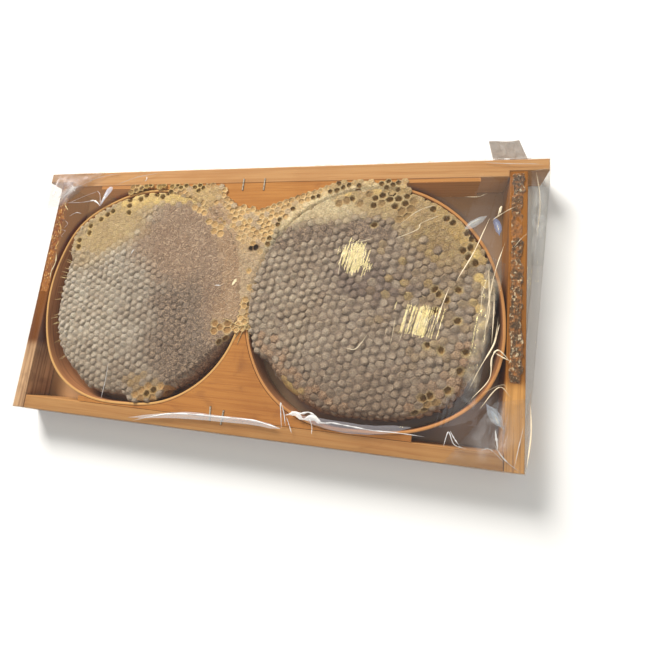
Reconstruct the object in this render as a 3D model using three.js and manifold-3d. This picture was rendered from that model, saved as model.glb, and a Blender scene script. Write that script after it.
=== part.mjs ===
// Comb honey in its frame: two bentwood hoops full of capped comb stand side by side in a
// wooden hive frame that lies flat. Two curved boards fill the spaces between the hoops, comb
// bridges the hoops where they meet, and clear film wraps the whole.
//
// Millimetres, +Z up. X runs along the top bar and Y from the bottom bar to the top bar. The
// origin is on the film's underside, below the middle of the frame without its lugs.

import * as THREE from 'three';
import { mergeVertices } from 'three/addons/utils/BufferGeometryUtils.js';
import Module from 'manifold-3d';

const wasm = await Module();
wasm.setup();

// ---------------------------------------------------------------- driving dimensions

const FIT_GAP = 0.3; // between two pieces that touch
const FILM = 0.6; // the film's thickness as a solid

const FRAME_WIDTH = 432; // over the end bars
const FRAME_HEIGHT = 232; // over the top and bottom bars
const FRAME_DEPTH = 24; // every bar, front face to back face
const TOP_BAR = 14.5;
const BOTTOM_BAR = 11.5;
const LEFT_BAR = 12;
const RIGHT_BAR = 13;
const LUG_REACH = 15; // the top bar's lugs past the end bars
const LUG_THICKNESS = 9.6;
const EASED_EDGE = 0.5; // the bars' worn edges

const HOOP_RADIUS = 100.8; // outside
const HOOP_WALL = 2.2;
const HOOP_DEPTH = 23.4;
const HOOP_SEGMENTS = 80;

// A hoop is sprung into the frame: it is round where bars and boards hold it and swells into the
// open corners. Each swell is [direction in degrees, reach in mm, half width in degrees].
const HOOPS = {
  left: {
    centre: [-102.7, -4.4],
    swells: [[-135, 5.5, 24], [-35, 2.5, 28], [-88, -2.6, 16], [90, 0.6, 40]],
  },
  right: {
    centre: [99.9, -6.9],
    swells: [[-30, 7.0, 24], [-135, 2.0, 20], [-87, -5.0, 20], [85, 3.0, 40]],
  },
};

// Clear space between the comb's edge and the hoop's inner wall, as [direction in degrees, mm].
const TOUCHING = 0.5;
const COMB_EDGES = {
  left: [[-180, 9], [-155, 8], [-130, 9.5], [-112, 5.5], [-92, 6], [-84, TOUCHING], [-70, TOUCHING],
    [-62, 7.5], [-40, 8.2], [-26, 6], [-16, TOUCHING], [110, TOUCHING], [125, 2.5], [145, 4.5], [165, 8]],
  right: [[-172, TOUCHING], [-156, 1.5], [-146, 9.5], [-125, 10.5], [-100, 8.5], [-70, 7.2], [-48, 6.5],
    [-28, 11.5], [-14, 12], [8, 6.5], [25, 2.4], [50, 2.2], [68, TOUCHING]],
};
const COMB_HALF_FRONT = 12.3; // from the comb's midrib to its front face
const COMB_HALF_BACK = 11.0;
const COMB_CROWN = 0.9; // the faces' gentle crown
const COMB_ROLL = { height: 0.45, alongX: 23, startX: 0.6, alongY: 19, startY: -0.4 }; // their uneven roll
const COMB_EDGE = { width: 2.4, perSpace: 0.75 }; // the rounded edge grows with the clear space beside it
const COMB_SEGMENTS = 64;
const COMB_FACE_RINGS = [0, 0.3, 0.55, 0.78, 1];
const COMB_EDGE_STEPS = 8;

// The comb built over the hoops: its edge against the top filler board, left to right.
const BRACE_EDGE = [[-40, 101], [-36, 97], [-30, 88], [-22, 80], [-8, 76], [2, 75.5], [12, 79], [28, 85.5],
  [45, 91.5], [60, 98.5], [66, 101]];
// Its other side, from its left end, down the cleft between the hoops, to its right end.
const BRACE_CLEFT = [[-137, 86], [-60, 40], [-18, -30], [-6, -33], [4, -33], [14, -30], [60, 40], [128, 86]];
const BRACE_RISE = 1.8; // its face above the bars' faces
const BRACE_HOLE = { centre: [2, 39], radius: 4.2, segments: 14 };

// Each filler board: its ends, its tail's thickness and how far its point reaches towards the middle.
const FILLER_BOTTOM = { left: -147, right: 141, tail: 4.8, point: -30 };
const FILLER_TOP = { left: -168, right: 182, tail: 3.4, point: 26 };

const STAPLE_WIRE = [1.1, 0.6]; // across and thick
const STAPLE_CROWN = 11;
const STAPLE_LEG = 5;
const STAPLES = [
  { name: 'staple_top_left', at: [-18.3, 99.8], turn: 0 },
  { name: 'staple_top_right', at: [1.8, 99.6], turn: 0 },
  { name: 'staple_bottom_left', at: [-18.5, -101.4], turn: 4 },
  { name: 'staple_bottom_right', at: [-7.4, -103.4], turn: -5 },
];

const FILM_SLACK = 0.4; // between the bars and the film around them
const FILM_RISE = 2.3; // how far the combs lift the film above the bars
const FILM_SEAM = 12.5; // height of the slit between the film's two halves
const FILM_LIFT = { across: 0.068, along: 0.085 }; // the shares of its half sizes over which it climbs
const FILM_ACROSS = [-1, -0.965, -0.93, -0.82, -0.66, -0.5, -0.34, -0.17, 0, 0.17, 0.34, 0.5, 0.66, 0.82,
  0.93, 0.965, 1];
const FILM_ALONG = [-1, -0.955, -0.9, -0.7, -0.45, -0.2, 0.05, 0.3, 0.55, 0.74, 0.86, 0.915, 1];
const FLAP = { root: [194, 221], tip: [187.5, 210], reach: 18, rise: 7, aboveSeam: 1 };

const WELD = 1e-4; // points nearer than this are one point
const CUT_PAST = 1; // how far a cutter passes the faces that it cuts

// ---------------------------------------------------------------- derived places

const BACK_Z = FILM + FIT_GAP; // the wood's back face
const FRONT_Z = BACK_Z + FRAME_DEPTH;
const MIDRIB_Z = BACK_Z + FRAME_DEPTH / 2;
const HALF_WIDTH = FRAME_WIDTH / 2;
const HALF_HEIGHT = FRAME_HEIGHT / 2;
const TOP_INNER = HALF_HEIGHT - TOP_BAR;
const BOTTOM_INNER = BOTTOM_BAR - HALF_HEIGHT;
const LUG_BOTTOM = HALF_HEIGHT - LUG_THICKNESS;

const FINISHES = {
  pine: { color: 0xd09a62, roughness: 0.62 },
  endBar: { color: 0xc08550, roughness: 0.68 },
  board: { color: 0xc0803f, roughness: 0.6 },
  hoop: { color: 0xc48a55, roughness: 0.5 },
  comb: { color: 0xb3a388, roughness: 0.55 },
  brace: { color: 0xd8bd86, roughness: 0.5 },
  steel: { color: 0xb9b4aa, roughness: 0.35, metalness: 0.9 },
  film: { color: 0xf2f2ee, roughness: 0.08, transparent: true, opacity: 0.25 },
};

const part = new THREE.Group();
part.name = 'comb_honey';

function addPiece(name, geometry, finish, place = [0, 0, 0]) {
  const mesh = new THREE.Mesh(geometry, new THREE.MeshStandardMaterial(FINISHES[finish]));
  mesh.name = name;
  mesh.position.set(...place);
  part.add(mesh);
  return mesh;
}

// ---------------------------------------------------------------- shape helpers

const radians = (degrees) => (degrees * Math.PI) / 180;

// The signed angle from b to a, in degrees, between -180 and 180.
function turnBetween(a, b) {
  return ((((a - b + 180) % 360) + 360) % 360) - 180;
}

// A closed geometry from points and triangles.
function solidGeometry(points, triangles) {
  const geometry = new THREE.BufferGeometry();
  geometry.setAttribute('position', new THREE.Float32BufferAttribute(points.flat(), 3));
  geometry.setIndex(triangles.flat());
  return geometry;
}

// A flat outline, [[x, y], ...], carried from z = low to z = high, with its edges eased if asked.
function plate(outline, low, high, ease = 0, holes = []) {
  const shape = new THREE.Shape(outline.map(([x, y]) => new THREE.Vector2(x, y)));
  for (const hole of holes) {
    shape.holes.push(new THREE.Path(hole.map(([x, y]) => new THREE.Vector2(x, y))));
  }
  const geometry = new THREE.ExtrudeGeometry(shape, {
    depth: high - low - 2 * ease,
    bevelEnabled: ease > 0,
    bevelThickness: ease,
    bevelSize: ease,
    bevelOffset: -ease,
    bevelSegments: 1,
  });
  return geometry.translate(0, 0, low + ease);
}

function rectangle(left, right, bottom, top) {
  return [[left, bottom], [right, bottom], [right, top], [left, top]];
}

// manifold-3d's solid of a closed three.js geometry, and back again.
function toManifold(geometry) {
  const bare = geometry.clone();
  bare.deleteAttribute('normal');
  bare.deleteAttribute('uv');
  const merged = mergeVertices(bare, WELD);
  return new wasm.Manifold(new wasm.Mesh({
    numProp: 3,
    vertProperties: new Float32Array(merged.attributes.position.array),
    triVerts: new Uint32Array(merged.index.array),
  }));
}

function fromManifold(manifold) {
  const mesh = manifold.getMesh();
  const geometry = new THREE.BufferGeometry();
  geometry.setAttribute('position', new THREE.BufferAttribute(new Float32Array(mesh.vertProperties), 3));
  geometry.setIndex(new THREE.BufferAttribute(new Uint32Array(mesh.triVerts), 1));
  return geometry;
}

function without(geometry, cutters) {
  let rest = toManifold(geometry);
  for (const cutter of cutters) rest = rest.subtract(toManifold(cutter));
  return fromManifold(rest);
}

// ---------------------------------------------------------------- hoops

// The hoop's outer radius in a direction: the round radius and the sum of its swells.
function hoopRadius(hoop, degrees) {
  let radius = HOOP_RADIUS;
  for (const [direction, reach, width] of hoop.swells) {
    radius += reach * Math.exp(-((turnBetween(degrees, direction) / width) ** 2));
  }
  return radius;
}

// The hoop's outline, moved outwards by grow, about its own centre or in place.
function hoopOutline(hoop, grow, centre = [0, 0], segments = HOOP_SEGMENTS) {
  return Array.from({ length: segments }, (_, i) => {
    const degrees = (360 * i) / segments;
    const radius = hoopRadius(hoop, degrees) + grow;
    return [centre[0] + radius * Math.cos(radians(degrees)), centre[1] + radius * Math.sin(radians(degrees))];
  });
}

function addHoop(side) {
  const hoop = HOOPS[side];
  const ring = plate(hoopOutline(hoop, 0), -HOOP_DEPTH / 2, HOOP_DEPTH / 2, 0, [hoopOutline(hoop, -HOOP_WALL)]);
  addPiece(`hoop_${side}`, ring, 'hoop', [...hoop.centre, MIDRIB_Z]);
}

// ---------------------------------------------------------------- combs

// The clear space beside the comb in a direction, eased from one listed direction to the next.
function edgeSpace(list, degrees) {
  const count = list.length;
  for (let i = 0; i < count; i += 1) {
    const [from, start] = list[i];
    const [to, end] = list[(i + 1) % count];
    const span = (((to - from) % 360) + 360) % 360;
    const along = (((degrees - from) % 360) + 360) % 360;
    if (along <= span) {
      const t = along / span;
      return start + (end - start) * t * t * (3 - 2 * t);
    }
  }
  return list[0][1];
}

// A comb is a thick, slightly crowned and rolling slab. Seen from above its edge follows the hoop
// at the listed spaces, and in section the edge is half an ellipse, rounder where the space is wide.
function combGeometry(side) {
  const hoop = HOOPS[side];
  const rollAt = (x, y) => {
    const { height, alongX, startX, alongY, startY } = COMB_ROLL;
    return height * Math.sin(x / alongX + startX) * Math.cos(y / alongY + startY);
  };
  const section = COMB_FACE_RINGS.map((share) => ({ share, over: 0 }));
  for (let step = 1; step < COMB_EDGE_STEPS; step += 1) {
    section.push({ share: 1, over: (180 * step) / COMB_EDGE_STEPS });
  }
  section.push(...COMB_FACE_RINGS.map((share) => ({ share, over: 180 })).reverse());
  const points = [];
  const ringStarts = [];
  for (const { share, over } of section) {
    const pole = share === 0;
    ringStarts.push(points.length);
    for (let i = 0; i < (pole ? 1 : COMB_SEGMENTS); i += 1) {
      const degrees = (360 * i) / COMB_SEGMENTS;
      const space = edgeSpace(COMB_EDGES[side], degrees);
      const edgeWidth = COMB_EDGE.width + COMB_EDGE.perSpace * space;
      const outer = hoopRadius(hoop, degrees) - HOOP_WALL - space;
      const radius = share * (outer - edgeWidth) + edgeWidth * Math.sin(radians(over));
      const x = radius * Math.cos(radians(degrees));
      const y = radius * Math.sin(radians(degrees));
      const crown = COMB_CROWN * (1 - (radius / outer) ** 2) + rollAt(x, y);
      const towardsFront = Math.cos(radians(over));
      const half = towardsFront >= 0 ? COMB_HALF_FRONT : COMB_HALF_BACK;
      points.push([x, y, towardsFront * (half + crown)]);
    }
  }
  return solidGeometry(points, lathedFaces(ringStarts, COMB_SEGMENTS));
}

// Triangles between successive rings of points, from a single top point to a single bottom point.
function lathedFaces(ringStarts, segments) {
  const triangles = [];
  const last = ringStarts.length - 1;
  for (let r = 0; r < last; r += 1) {
    for (let i = 0; i < segments; i += 1) {
      const next = (i + 1) % segments;
      const a = ringStarts[r] + (r === 0 ? 0 : i);
      const b = ringStarts[r] + (r === 0 ? 0 : next);
      const c = ringStarts[r + 1] + (r + 1 === last ? 0 : next);
      const d = ringStarts[r + 1] + (r + 1 === last ? 0 : i);
      if (a !== b) triangles.push([a, c, b]);
      if (c !== d) triangles.push([a, d, c]);
    }
  }
  return triangles;
}

function addComb(side) {
  addPiece(`comb_${side}`, combGeometry(side), 'comb', [...HOOPS[side].centre, MIDRIB_Z]);
}

// The comb over the hoops' rims: everything under its edge line and outside the two hoops' inner
// walls, from the left end of the top overflow, over the meeting of the hoops, to its right end.
function addBraceComb() {
  const top = TOP_INNER - FIT_GAP;
  const [leftEnd] = BRACE_CLEFT[0];
  const [rightEnd] = BRACE_CLEFT[BRACE_CLEFT.length - 1];
  const edge = BRACE_EDGE.map(([x, y]) => [x, Math.min(y, top)]).reverse();
  const outline = [...BRACE_CLEFT, [rightEnd, top], ...edge, [leftEnd, top]];
  const low = FRONT_Z + FIT_GAP;
  const high = FRONT_Z + BRACE_RISE;
  const cutters = Object.values(HOOPS).map((hoop) => {
    const inside = hoopOutline(hoop, -HOOP_WALL, hoop.centre);
    return plate(inside, low - CUT_PAST, high + CUT_PAST);
  });
  const { centre, radius, segments } = BRACE_HOLE;
  const hole = new THREE.CylinderGeometry(radius, radius, 2 * BRACE_RISE, segments);
  cutters.push(hole.rotateX(Math.PI / 2).translate(...centre, (low + high) / 2));
  addPiece('comb_bridge', without(plate(outline, low, high), cutters), 'brace');
}

// ---------------------------------------------------------------- staples

// A staple is a flat wire: a crown across the joint and a leg at each end, driven into the wood.
function stapleOutline(grow) {
  const half = STAPLE_CROWN / 2;
  const wire = STAPLE_WIRE[1];
  return [
    [-half - grow, -STAPLE_LEG - grow], [-half + wire + grow, -STAPLE_LEG - grow], [-half + wire + grow, -grow],
    [half - wire - grow, -grow], [half - wire - grow, -STAPLE_LEG - grow], [half + grow, -STAPLE_LEG - grow],
    [half + grow, wire], [-half - grow, wire],
  ];
}

function stapleGeometry(grow) {
  const across = STAPLE_WIRE[0] / 2 + grow;
  return plate(stapleOutline(grow), -across, across).rotateX(Math.PI / 2).rotateZ(Math.PI / 2);
}

// The slots that the staples' legs stand in, in place.
function stapleSlots() {
  return STAPLES.map(({ at, turn }) => {
    const slot = stapleGeometry(FIT_GAP);
    return slot.rotateZ(radians(turn)).translate(...at, FRONT_Z);
  });
}

function addStaples() {
  for (const { name, at, turn } of STAPLES) {
    addPiece(name, stapleGeometry(0), 'steel', [...at, FRONT_Z]).rotation.z = radians(turn);
  }
}

// ---------------------------------------------------------------- bars and boards

function addBars() {
  const lugEnd = HALF_WIDTH + LUG_REACH;
  const topBar = [
    [-HALF_WIDTH + LEFT_BAR, TOP_INNER], [HALF_WIDTH - RIGHT_BAR, TOP_INNER], [HALF_WIDTH - RIGHT_BAR, LUG_BOTTOM],
    [lugEnd, LUG_BOTTOM], [lugEnd, HALF_HEIGHT], [-lugEnd, HALF_HEIGHT], [-lugEnd, LUG_BOTTOM],
    [-HALF_WIDTH + LEFT_BAR, LUG_BOTTOM],
  ];
  const slots = stapleSlots();
  addPiece('top_bar', without(plate(topBar, BACK_Z, FRONT_Z, EASED_EDGE), slots.slice(0, 2)), 'pine');

  const bottomBar = rectangle(
    -HALF_WIDTH + LEFT_BAR + FIT_GAP, HALF_WIDTH - RIGHT_BAR - FIT_GAP, -HALF_HEIGHT, BOTTOM_INNER);
  addPiece('bottom_bar', without(plate(bottomBar, BACK_Z, FRONT_Z, EASED_EDGE), slots.slice(2)), 'pine');

  const endTop = LUG_BOTTOM - FIT_GAP;
  const leftBar = rectangle(-HALF_WIDTH, -HALF_WIDTH + LEFT_BAR - FIT_GAP, -HALF_HEIGHT, endTop);
  const rightBar = rectangle(HALF_WIDTH - RIGHT_BAR + FIT_GAP, HALF_WIDTH, -HALF_HEIGHT, endTop);
  addPiece('end_bar_left', plate(leftBar, BACK_Z, FRONT_Z, EASED_EDGE), 'endBar');
  addPiece('end_bar_right', plate(rightBar, BACK_Z, FRONT_Z, EASED_EDGE), 'endBar');
}

// A filler board: a thin tail along its bar, and between the hoops a point that both hoops hollow.
// inner is the bar's inner face, and inwards is +1 if the board points to +Y and -1 if to -Y.
function addFiller(name, board, inner, inwards, slots) {
  const root = inner + inwards * FIT_GAP;
  const tail = inner + inwards * board.tail;
  const shoulderLeft = HOOPS.left.centre[0];
  const shoulderRight = HOOPS.right.centre[0];
  const outline = [
    [board.left, root], [board.right, root], [board.right, tail], [shoulderRight, tail],
    [shoulderRight, board.point], [shoulderLeft, board.point], [shoulderLeft, tail], [board.left, tail],
  ];
  if (inwards < 0) outline.reverse();
  const hollows = Object.values(HOOPS).map((hoop) => {
    const beside = hoopOutline(hoop, FIT_GAP, hoop.centre);
    return plate(beside, BACK_Z - CUT_PAST, FRONT_Z + CUT_PAST);
  });
  addPiece(name, without(plate(outline, BACK_Z, FRONT_Z), [...hollows, ...slots]), 'board');
}

function addFillers() {
  const slots = stapleSlots();
  addFiller('filler_top', FILLER_TOP, TOP_INNER, -1, slots.slice(0, 2));
  addFiller('filler_bottom', FILLER_BOTTOM, BOTTOM_INNER, 1, slots.slice(2));
}

// ---------------------------------------------------------------- film

// Half the film's width at a height on the frame: it is drawn straight from each lug to the foot
// of the end bar.
function filmHalfWidth(y) {
  const lug = HALF_WIDTH + LUG_REACH;
  const down = Math.max(0, (LUG_BOTTOM - y) / (LUG_BOTTOM + HALF_HEIGHT));
  return lug - LUG_REACH * down;
}

// How far the combs lift the film at a place given as shares of the half width and half height:
// nothing at the outer edges, all of it from the bars' inner edges inwards.
function filmLift(u, v) {
  const rise = (share, start) => THREE.MathUtils.smoothstep(1 - Math.abs(share), 0, start);
  return FILM_RISE * rise(u, FILM_LIFT.across) * rise(v, FILM_LIFT.along);
}

// One half of the film: a face and a skirt around it, with an inner skin one film thickness in.
// height(u, v) is the outer face's height, seam the skirt's end, and up is +1 for the upper half.
function filmHalf(across, along, height, seam, up) {
  const points = [];
  const triangles = [];
  const layers = [0, FILM].map((inset) => {
    const at = (u, v) => {
      const y = v * (HALF_HEIGHT + FILM_SLACK + FILM - inset);
      return [u * (filmHalfWidth(y) + FILM_SLACK + FILM - inset), y];
    };
    const grid = along.map((v) => across.map((u) => {
      points.push([...at(u, v), height(u, v) - up * inset]);
      return points.length - 1;
    }));
    const border = [
      ...across.slice(0, -1).map((u) => [u, along[0]]),
      ...along.slice(0, -1).map((v) => [across[across.length - 1], v]),
      ...across.slice(1).reverse().map((u) => [u, along[along.length - 1]]),
      ...along.slice(1).reverse().map((v) => [across[0], v]),
    ];
    const edge = border.map(([u, v]) => grid[along.indexOf(v)][across.indexOf(u)]);
    const hem = border.map(([u, v]) => {
      points.push([...at(u, v), seam]);
      return points.length - 1;
    });
    return { grid, edge, hem };
  });
  const quad = (a, b, c, d) => {
    const out = up > 0 ? [[a, b, c], [a, c, d]] : [[a, c, b], [a, d, c]];
    triangles.push(...out);
  };
  const [outer, inner] = layers;
  for (let j = 0; j + 1 < along.length; j += 1) {
    for (let i = 0; i + 1 < across.length; i += 1) {
      quad(outer.grid[j][i], outer.grid[j][i + 1], outer.grid[j + 1][i + 1], outer.grid[j + 1][i]);
      quad(inner.grid[j][i], inner.grid[j + 1][i], inner.grid[j + 1][i + 1], inner.grid[j][i + 1]);
    }
  }
  outer.edge.forEach((start, i) => {
    const next = (i + 1) % outer.edge.length;
    quad(outer.hem[i], outer.hem[next], outer.edge[next], start);
    quad(inner.edge[i], inner.edge[next], inner.hem[next], inner.hem[i]);
    quad(inner.hem[i], inner.hem[next], outer.hem[next], outer.hem[i]);
  });
  return solidGeometry(points, triangles);
}

// A loose corner of the film that stands out past the top bar and leans to the left.
function flapGeometry() {
  const slope = Math.hypot(FLAP.reach, FLAP.rise);
  const root = -FILM / 2;
  const outline = [[FLAP.root[0], root], [FLAP.root[1], root], [FLAP.tip[1], slope], [FLAP.tip[0], slope]];
  return plate(outline, 0, FILM)
    .rotateX(Math.atan2(FLAP.rise, FLAP.reach))
    .translate(0, HALF_HEIGHT + FILM_SLACK + FILM, FILM_SEAM + FLAP.aboveSeam);
}

function addFilm() {
  const topHeight = (u, v) => FRONT_Z + FIT_GAP + FILM + filmLift(u, v);
  const upper = filmHalf(FILM_ACROSS, FILM_ALONG, topHeight, FILM_SEAM + FIT_GAP / 2, 1);
  addPiece('film_top', fromManifold(toManifold(upper).add(toManifold(flapGeometry()))), 'film');

  const lugShare = LUG_BOTTOM / (HALF_HEIGHT + FILM_SLACK + FILM);
  const lower = filmHalf([-1, 1], [-1, lugShare, 1], () => 0, FILM_SEAM - FIT_GAP / 2, -1);
  addPiece('film_bottom', lower, 'film');
}

// ---------------------------------------------------------------- the whole

addBars();
addFillers();
addHoop('left');
addHoop('right');
addComb('left');
addComb('right');
addBraceComb();
addStaples();
addFilm();

export default part;
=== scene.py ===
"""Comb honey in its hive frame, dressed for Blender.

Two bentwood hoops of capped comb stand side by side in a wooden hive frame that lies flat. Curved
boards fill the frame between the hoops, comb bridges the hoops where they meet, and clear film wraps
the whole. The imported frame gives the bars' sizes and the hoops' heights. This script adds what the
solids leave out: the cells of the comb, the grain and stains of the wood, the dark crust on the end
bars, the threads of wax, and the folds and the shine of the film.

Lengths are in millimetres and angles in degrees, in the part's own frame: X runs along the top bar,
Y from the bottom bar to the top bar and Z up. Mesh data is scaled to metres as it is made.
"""

from __future__ import annotations

import logging
import math
from collections.abc import Callable
from dataclasses import dataclass
from enum import Enum

import bpy
import numpy as np
from mathutils import Matrix, Vector

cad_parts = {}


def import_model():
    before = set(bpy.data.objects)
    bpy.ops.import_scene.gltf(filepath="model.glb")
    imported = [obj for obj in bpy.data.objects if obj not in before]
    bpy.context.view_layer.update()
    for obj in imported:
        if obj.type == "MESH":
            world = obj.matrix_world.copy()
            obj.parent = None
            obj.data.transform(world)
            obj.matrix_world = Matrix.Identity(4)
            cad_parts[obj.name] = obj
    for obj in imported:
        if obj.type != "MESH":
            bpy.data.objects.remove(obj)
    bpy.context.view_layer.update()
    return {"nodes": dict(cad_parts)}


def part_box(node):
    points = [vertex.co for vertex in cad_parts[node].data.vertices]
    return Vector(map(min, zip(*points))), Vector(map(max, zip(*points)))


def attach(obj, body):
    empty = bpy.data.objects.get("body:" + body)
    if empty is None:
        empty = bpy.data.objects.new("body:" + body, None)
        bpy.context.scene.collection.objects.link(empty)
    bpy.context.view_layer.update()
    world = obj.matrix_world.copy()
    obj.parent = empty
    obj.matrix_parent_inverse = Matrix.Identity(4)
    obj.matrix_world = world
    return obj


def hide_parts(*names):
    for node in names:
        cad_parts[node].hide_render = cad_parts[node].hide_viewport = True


LOG = logging.getLogger("comb_honey")

MM = 0.001  # metres in a millimetre
SEED = 29
BODY = "root"
WHITE = (1.0, 1.0, 1.0)
# Colours of painted glare on the film: warm from the lamps, pink, and blue from a window.
WARM_GLARE = (1.0, 0.86, 0.62)
PINK_HAZE_AND_GLARE = (0.96, 0.86, 0.84)
BLUE_GLARE = (0.26, 0.32, 0.54)

Array = np.ndarray
Material = bpy.types.Material
Piece = bpy.types.Object
Socket = bpy.types.NodeSocket
Colour = tuple[float, float, float]
Point = tuple[float, float]
Point3 = tuple[float, float, float]


# ---- numbers and noise


def srgb(red: int, green: int, blue: int) -> Colour:
    """Returns the linear colour of an 8-bit screen colour: ((c + 0.055) / 1.055) to the power 2.4."""
    return tuple(((c / 255 + 0.055) / 1.055) ** 2.4 if c > 10 else c / 3294.6 for c in (red, green, blue))


def smoothstep(value: Array, low: float | Array, high: float | Array) -> Array:
    """Eases from 0 at low to 1 at high: t * t * (3 - 2 t), with t the share of the way, clipped."""
    share = np.clip((value - low) / (high - low), 0.0, 1.0)
    return share * share * (3.0 - 2.0 * share)


def noise(x: Array, y: Array, size: float, seed: int) -> Array:
    """Smooth random heights over a plane.

    A table of random numbers stands on a square grid, and a place takes the eased mean of the four
    around it.

    Args:
        x: Places along X.
        y: Places along Y.
        size: The grid's spacing, in the units of x and y.
        seed: Which table.

    Returns:
        A number from -1 to 1 for each place.
    """
    table = np.random.default_rng(SEED + seed).uniform(-1.0, 1.0, (97, 97))
    column, row = x / size, y / size
    i, j = np.floor(column).astype(int), np.floor(row).astype(int)
    u, v = smoothstep(column - i, 0.0, 1.0), smoothstep(row - j, 0.0, 1.0)
    i0, i1, j0, j1 = i % 97, (i + 1) % 97, j % 97, (j + 1) % 97
    near = table[i0, j0] * (1 - u) + table[i1, j0] * u
    far = table[i0, j1] * (1 - u) + table[i1, j1] * u
    return near * (1 - v) + far * v


def crumple(x: Array, y: Array, size: float, seed: int) -> Array:
    """Sharp-ridged random folds, 0 to 1: one less the distance of two sizes of noise from nought."""
    coarse = 1.0 - np.abs(noise(x, y, size, seed)) * 2.0
    fine = 1.0 - np.abs(noise(y * 0.9 + x * 0.3, x, size * 0.45, seed + 1)) * 2.0
    return np.clip(0.5 + 0.35 * coarse + 0.15 * fine, 0.0, 1.0)


def curve_through(points: Array, per_span: int) -> Array:
    """A smooth line through a few points.

    Each span is the usual cubic that leaves a point along the line between its two neighbours.

    Args:
        points: The points, one row each.
        per_span: How many steps each span takes.

    Returns:
        The line's points, the last of the given ones included.
    """
    ends = np.vstack([2 * points[0] - points[1], points, 2 * points[-1] - points[-2]])
    share = np.linspace(0.0, 1.0, per_span, endpoint=False)[:, None]
    spans = []
    for k in range(len(points) - 1):
        p0, p1, p2, p3 = ends[k : k + 4]
        cubic = (2 * p0 - 5 * p1 + 4 * p2 - p3) * share**2 + (3 * p1 - p0 - 3 * p2 + p3) * share**3
        spans.append(p1 + 0.5 * ((p2 - p0) * share + cubic))
    return np.vstack([*spans, points[-1:]])


def distance_to_line(x: Array, y: Array, line: Array) -> tuple[Array, Array]:
    """How far places are from a line of points.

    Args:
        x: Places along X.
        y: Places along Y.
        line: The line's points, each x, y and any further values.

    Returns:
        Each place's distance to the nearest point of the line, and the line's further value there.
    """
    best = np.full(x.shape, np.inf)
    value = np.zeros(x.shape)
    for start, end in zip(line[:-1], line[1:]):
        along = end[:2] - start[:2]
        share = ((x - start[0]) * along[0] + (y - start[1]) * along[1]) / max(along @ along, 1e-9)
        share = np.clip(share, 0.0, 1.0)
        gap = np.hypot(x - start[0] - share * along[0], y - start[1] - share * along[1])
        nearer = gap < best
        best = np.where(nearer, gap, best)
        value = np.where(nearer, start[2] + share * (end[2] - start[2]), value)
    return best, value


# ---- meshes


@dataclass
class Surface:
    """Points and faces of a piece, with a colour for each point.

    Attributes:
        points: One row of x, y, z for each point.
        faces: Arrays of point numbers, each array holding faces with one number of corners.
        tint: One row of red, green, blue and a free value for each point, or None.
        grain: One row of a pattern's two coordinates for each point, or None.
    """

    points: Array
    faces: list[Array]
    tint: Array | None = None
    grain: Array | None = None

    def joined(self, other: Surface) -> Surface:
        """Adds another surface's points and faces to its own.

        Args:
            other: A surface that has a tint and a grain where this one has them.

        Returns:
            Both surfaces as one.
        """
        shifted = [f + len(self.points) for f in other.faces]
        tint = None if self.tint is None else np.vstack([self.tint, other.tint])
        grain = None if self.grain is None else np.vstack([self.grain, other.grain])
        return Surface(np.vstack([self.points, other.points]), [*self.faces, *shifted], tint, grain)

    def build(self, name: str, finish: Material, smooth: bool = True, crease: float = 180.0) -> Piece:
        """Makes the Blender object.

        Args:
            name: The piece's name.
            finish: Its material.
            smooth: Whether its faces are shaded as one curved surface.
            crease: The angle between two faces over which their shared side shows as an edge.

        Returns:
            The object, at the origin, with its place in its mesh.
        """
        mesh = bpy.data.meshes.new(name)
        corners = np.concatenate([f.ravel() for f in self.faces]).astype(np.int32)
        counts = np.concatenate([np.full(len(f), f.shape[1]) for f in self.faces])
        starts = np.concatenate([[0], np.cumsum(counts)[:-1]]).astype(np.int32)
        mesh.vertices.add(len(self.points))
        mesh.vertices.foreach_set("co", (self.points * MM).astype(np.float32).ravel())
        mesh.loops.add(len(corners))
        mesh.loops.foreach_set("vertex_index", corners)
        mesh.polygons.add(len(counts))
        mesh.polygons.foreach_set("loop_start", starts)
        mesh.polygons.foreach_set("use_smooth", np.full(len(counts), smooth))
        mesh.update(calc_edges=True)
        if self.tint is not None:
            layer = mesh.color_attributes.new("Tint", "FLOAT_COLOR", "POINT")
            layer.data.foreach_set("color", self.tint.astype(np.float32).ravel())
        if self.grain is not None:
            layer = mesh.uv_layers.new(name="Grain")
            layer.data.foreach_set("uv", self.grain[corners].astype(np.float32).ravel())
        if crease < 180.0:
            mesh.set_sharp_from_angle(angle=math.radians(crease))
        mesh.materials.append(finish)
        piece = bpy.data.objects.new(name, mesh)
        bpy.context.scene.collection.objects.link(piece)
        LOG.info("%s: %d points, %d faces", name, len(self.points), len(counts))
        return piece


def grid_faces(rows: int, columns: int, wrap_rows: bool = False, wrap_columns: bool = False) -> Array:
    """Quads between the points of a grid.

    Args:
        rows: How many rows of points.
        columns: How many points a row has.
        wrap_rows: Whether the last row joins the first.
        wrap_columns: Whether the last column joins the first.

    Returns:
        Four point numbers for each quad, turning from the columns towards the rows.
    """
    r = np.arange(rows if wrap_rows else rows - 1)[:, None]
    c = np.arange(columns if wrap_columns else columns - 1)[None, :]
    r1, c1 = (r + 1) % rows, (c + 1) % columns
    quads = np.stack([r * columns + c, r * columns + c1, r1 * columns + c1, r1 * columns + c], axis=-1)
    return quads.reshape(-1, 4)


def border_of(rows: int, columns: int) -> Array:
    """The point numbers round a grid's border, turning from the columns towards the rows."""
    number = np.arange(rows * columns).reshape(rows, columns)
    return np.concatenate([number[0, :-1], number[:-1, -1], number[-1, :0:-1], number[:0:-1, 0]])


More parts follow.
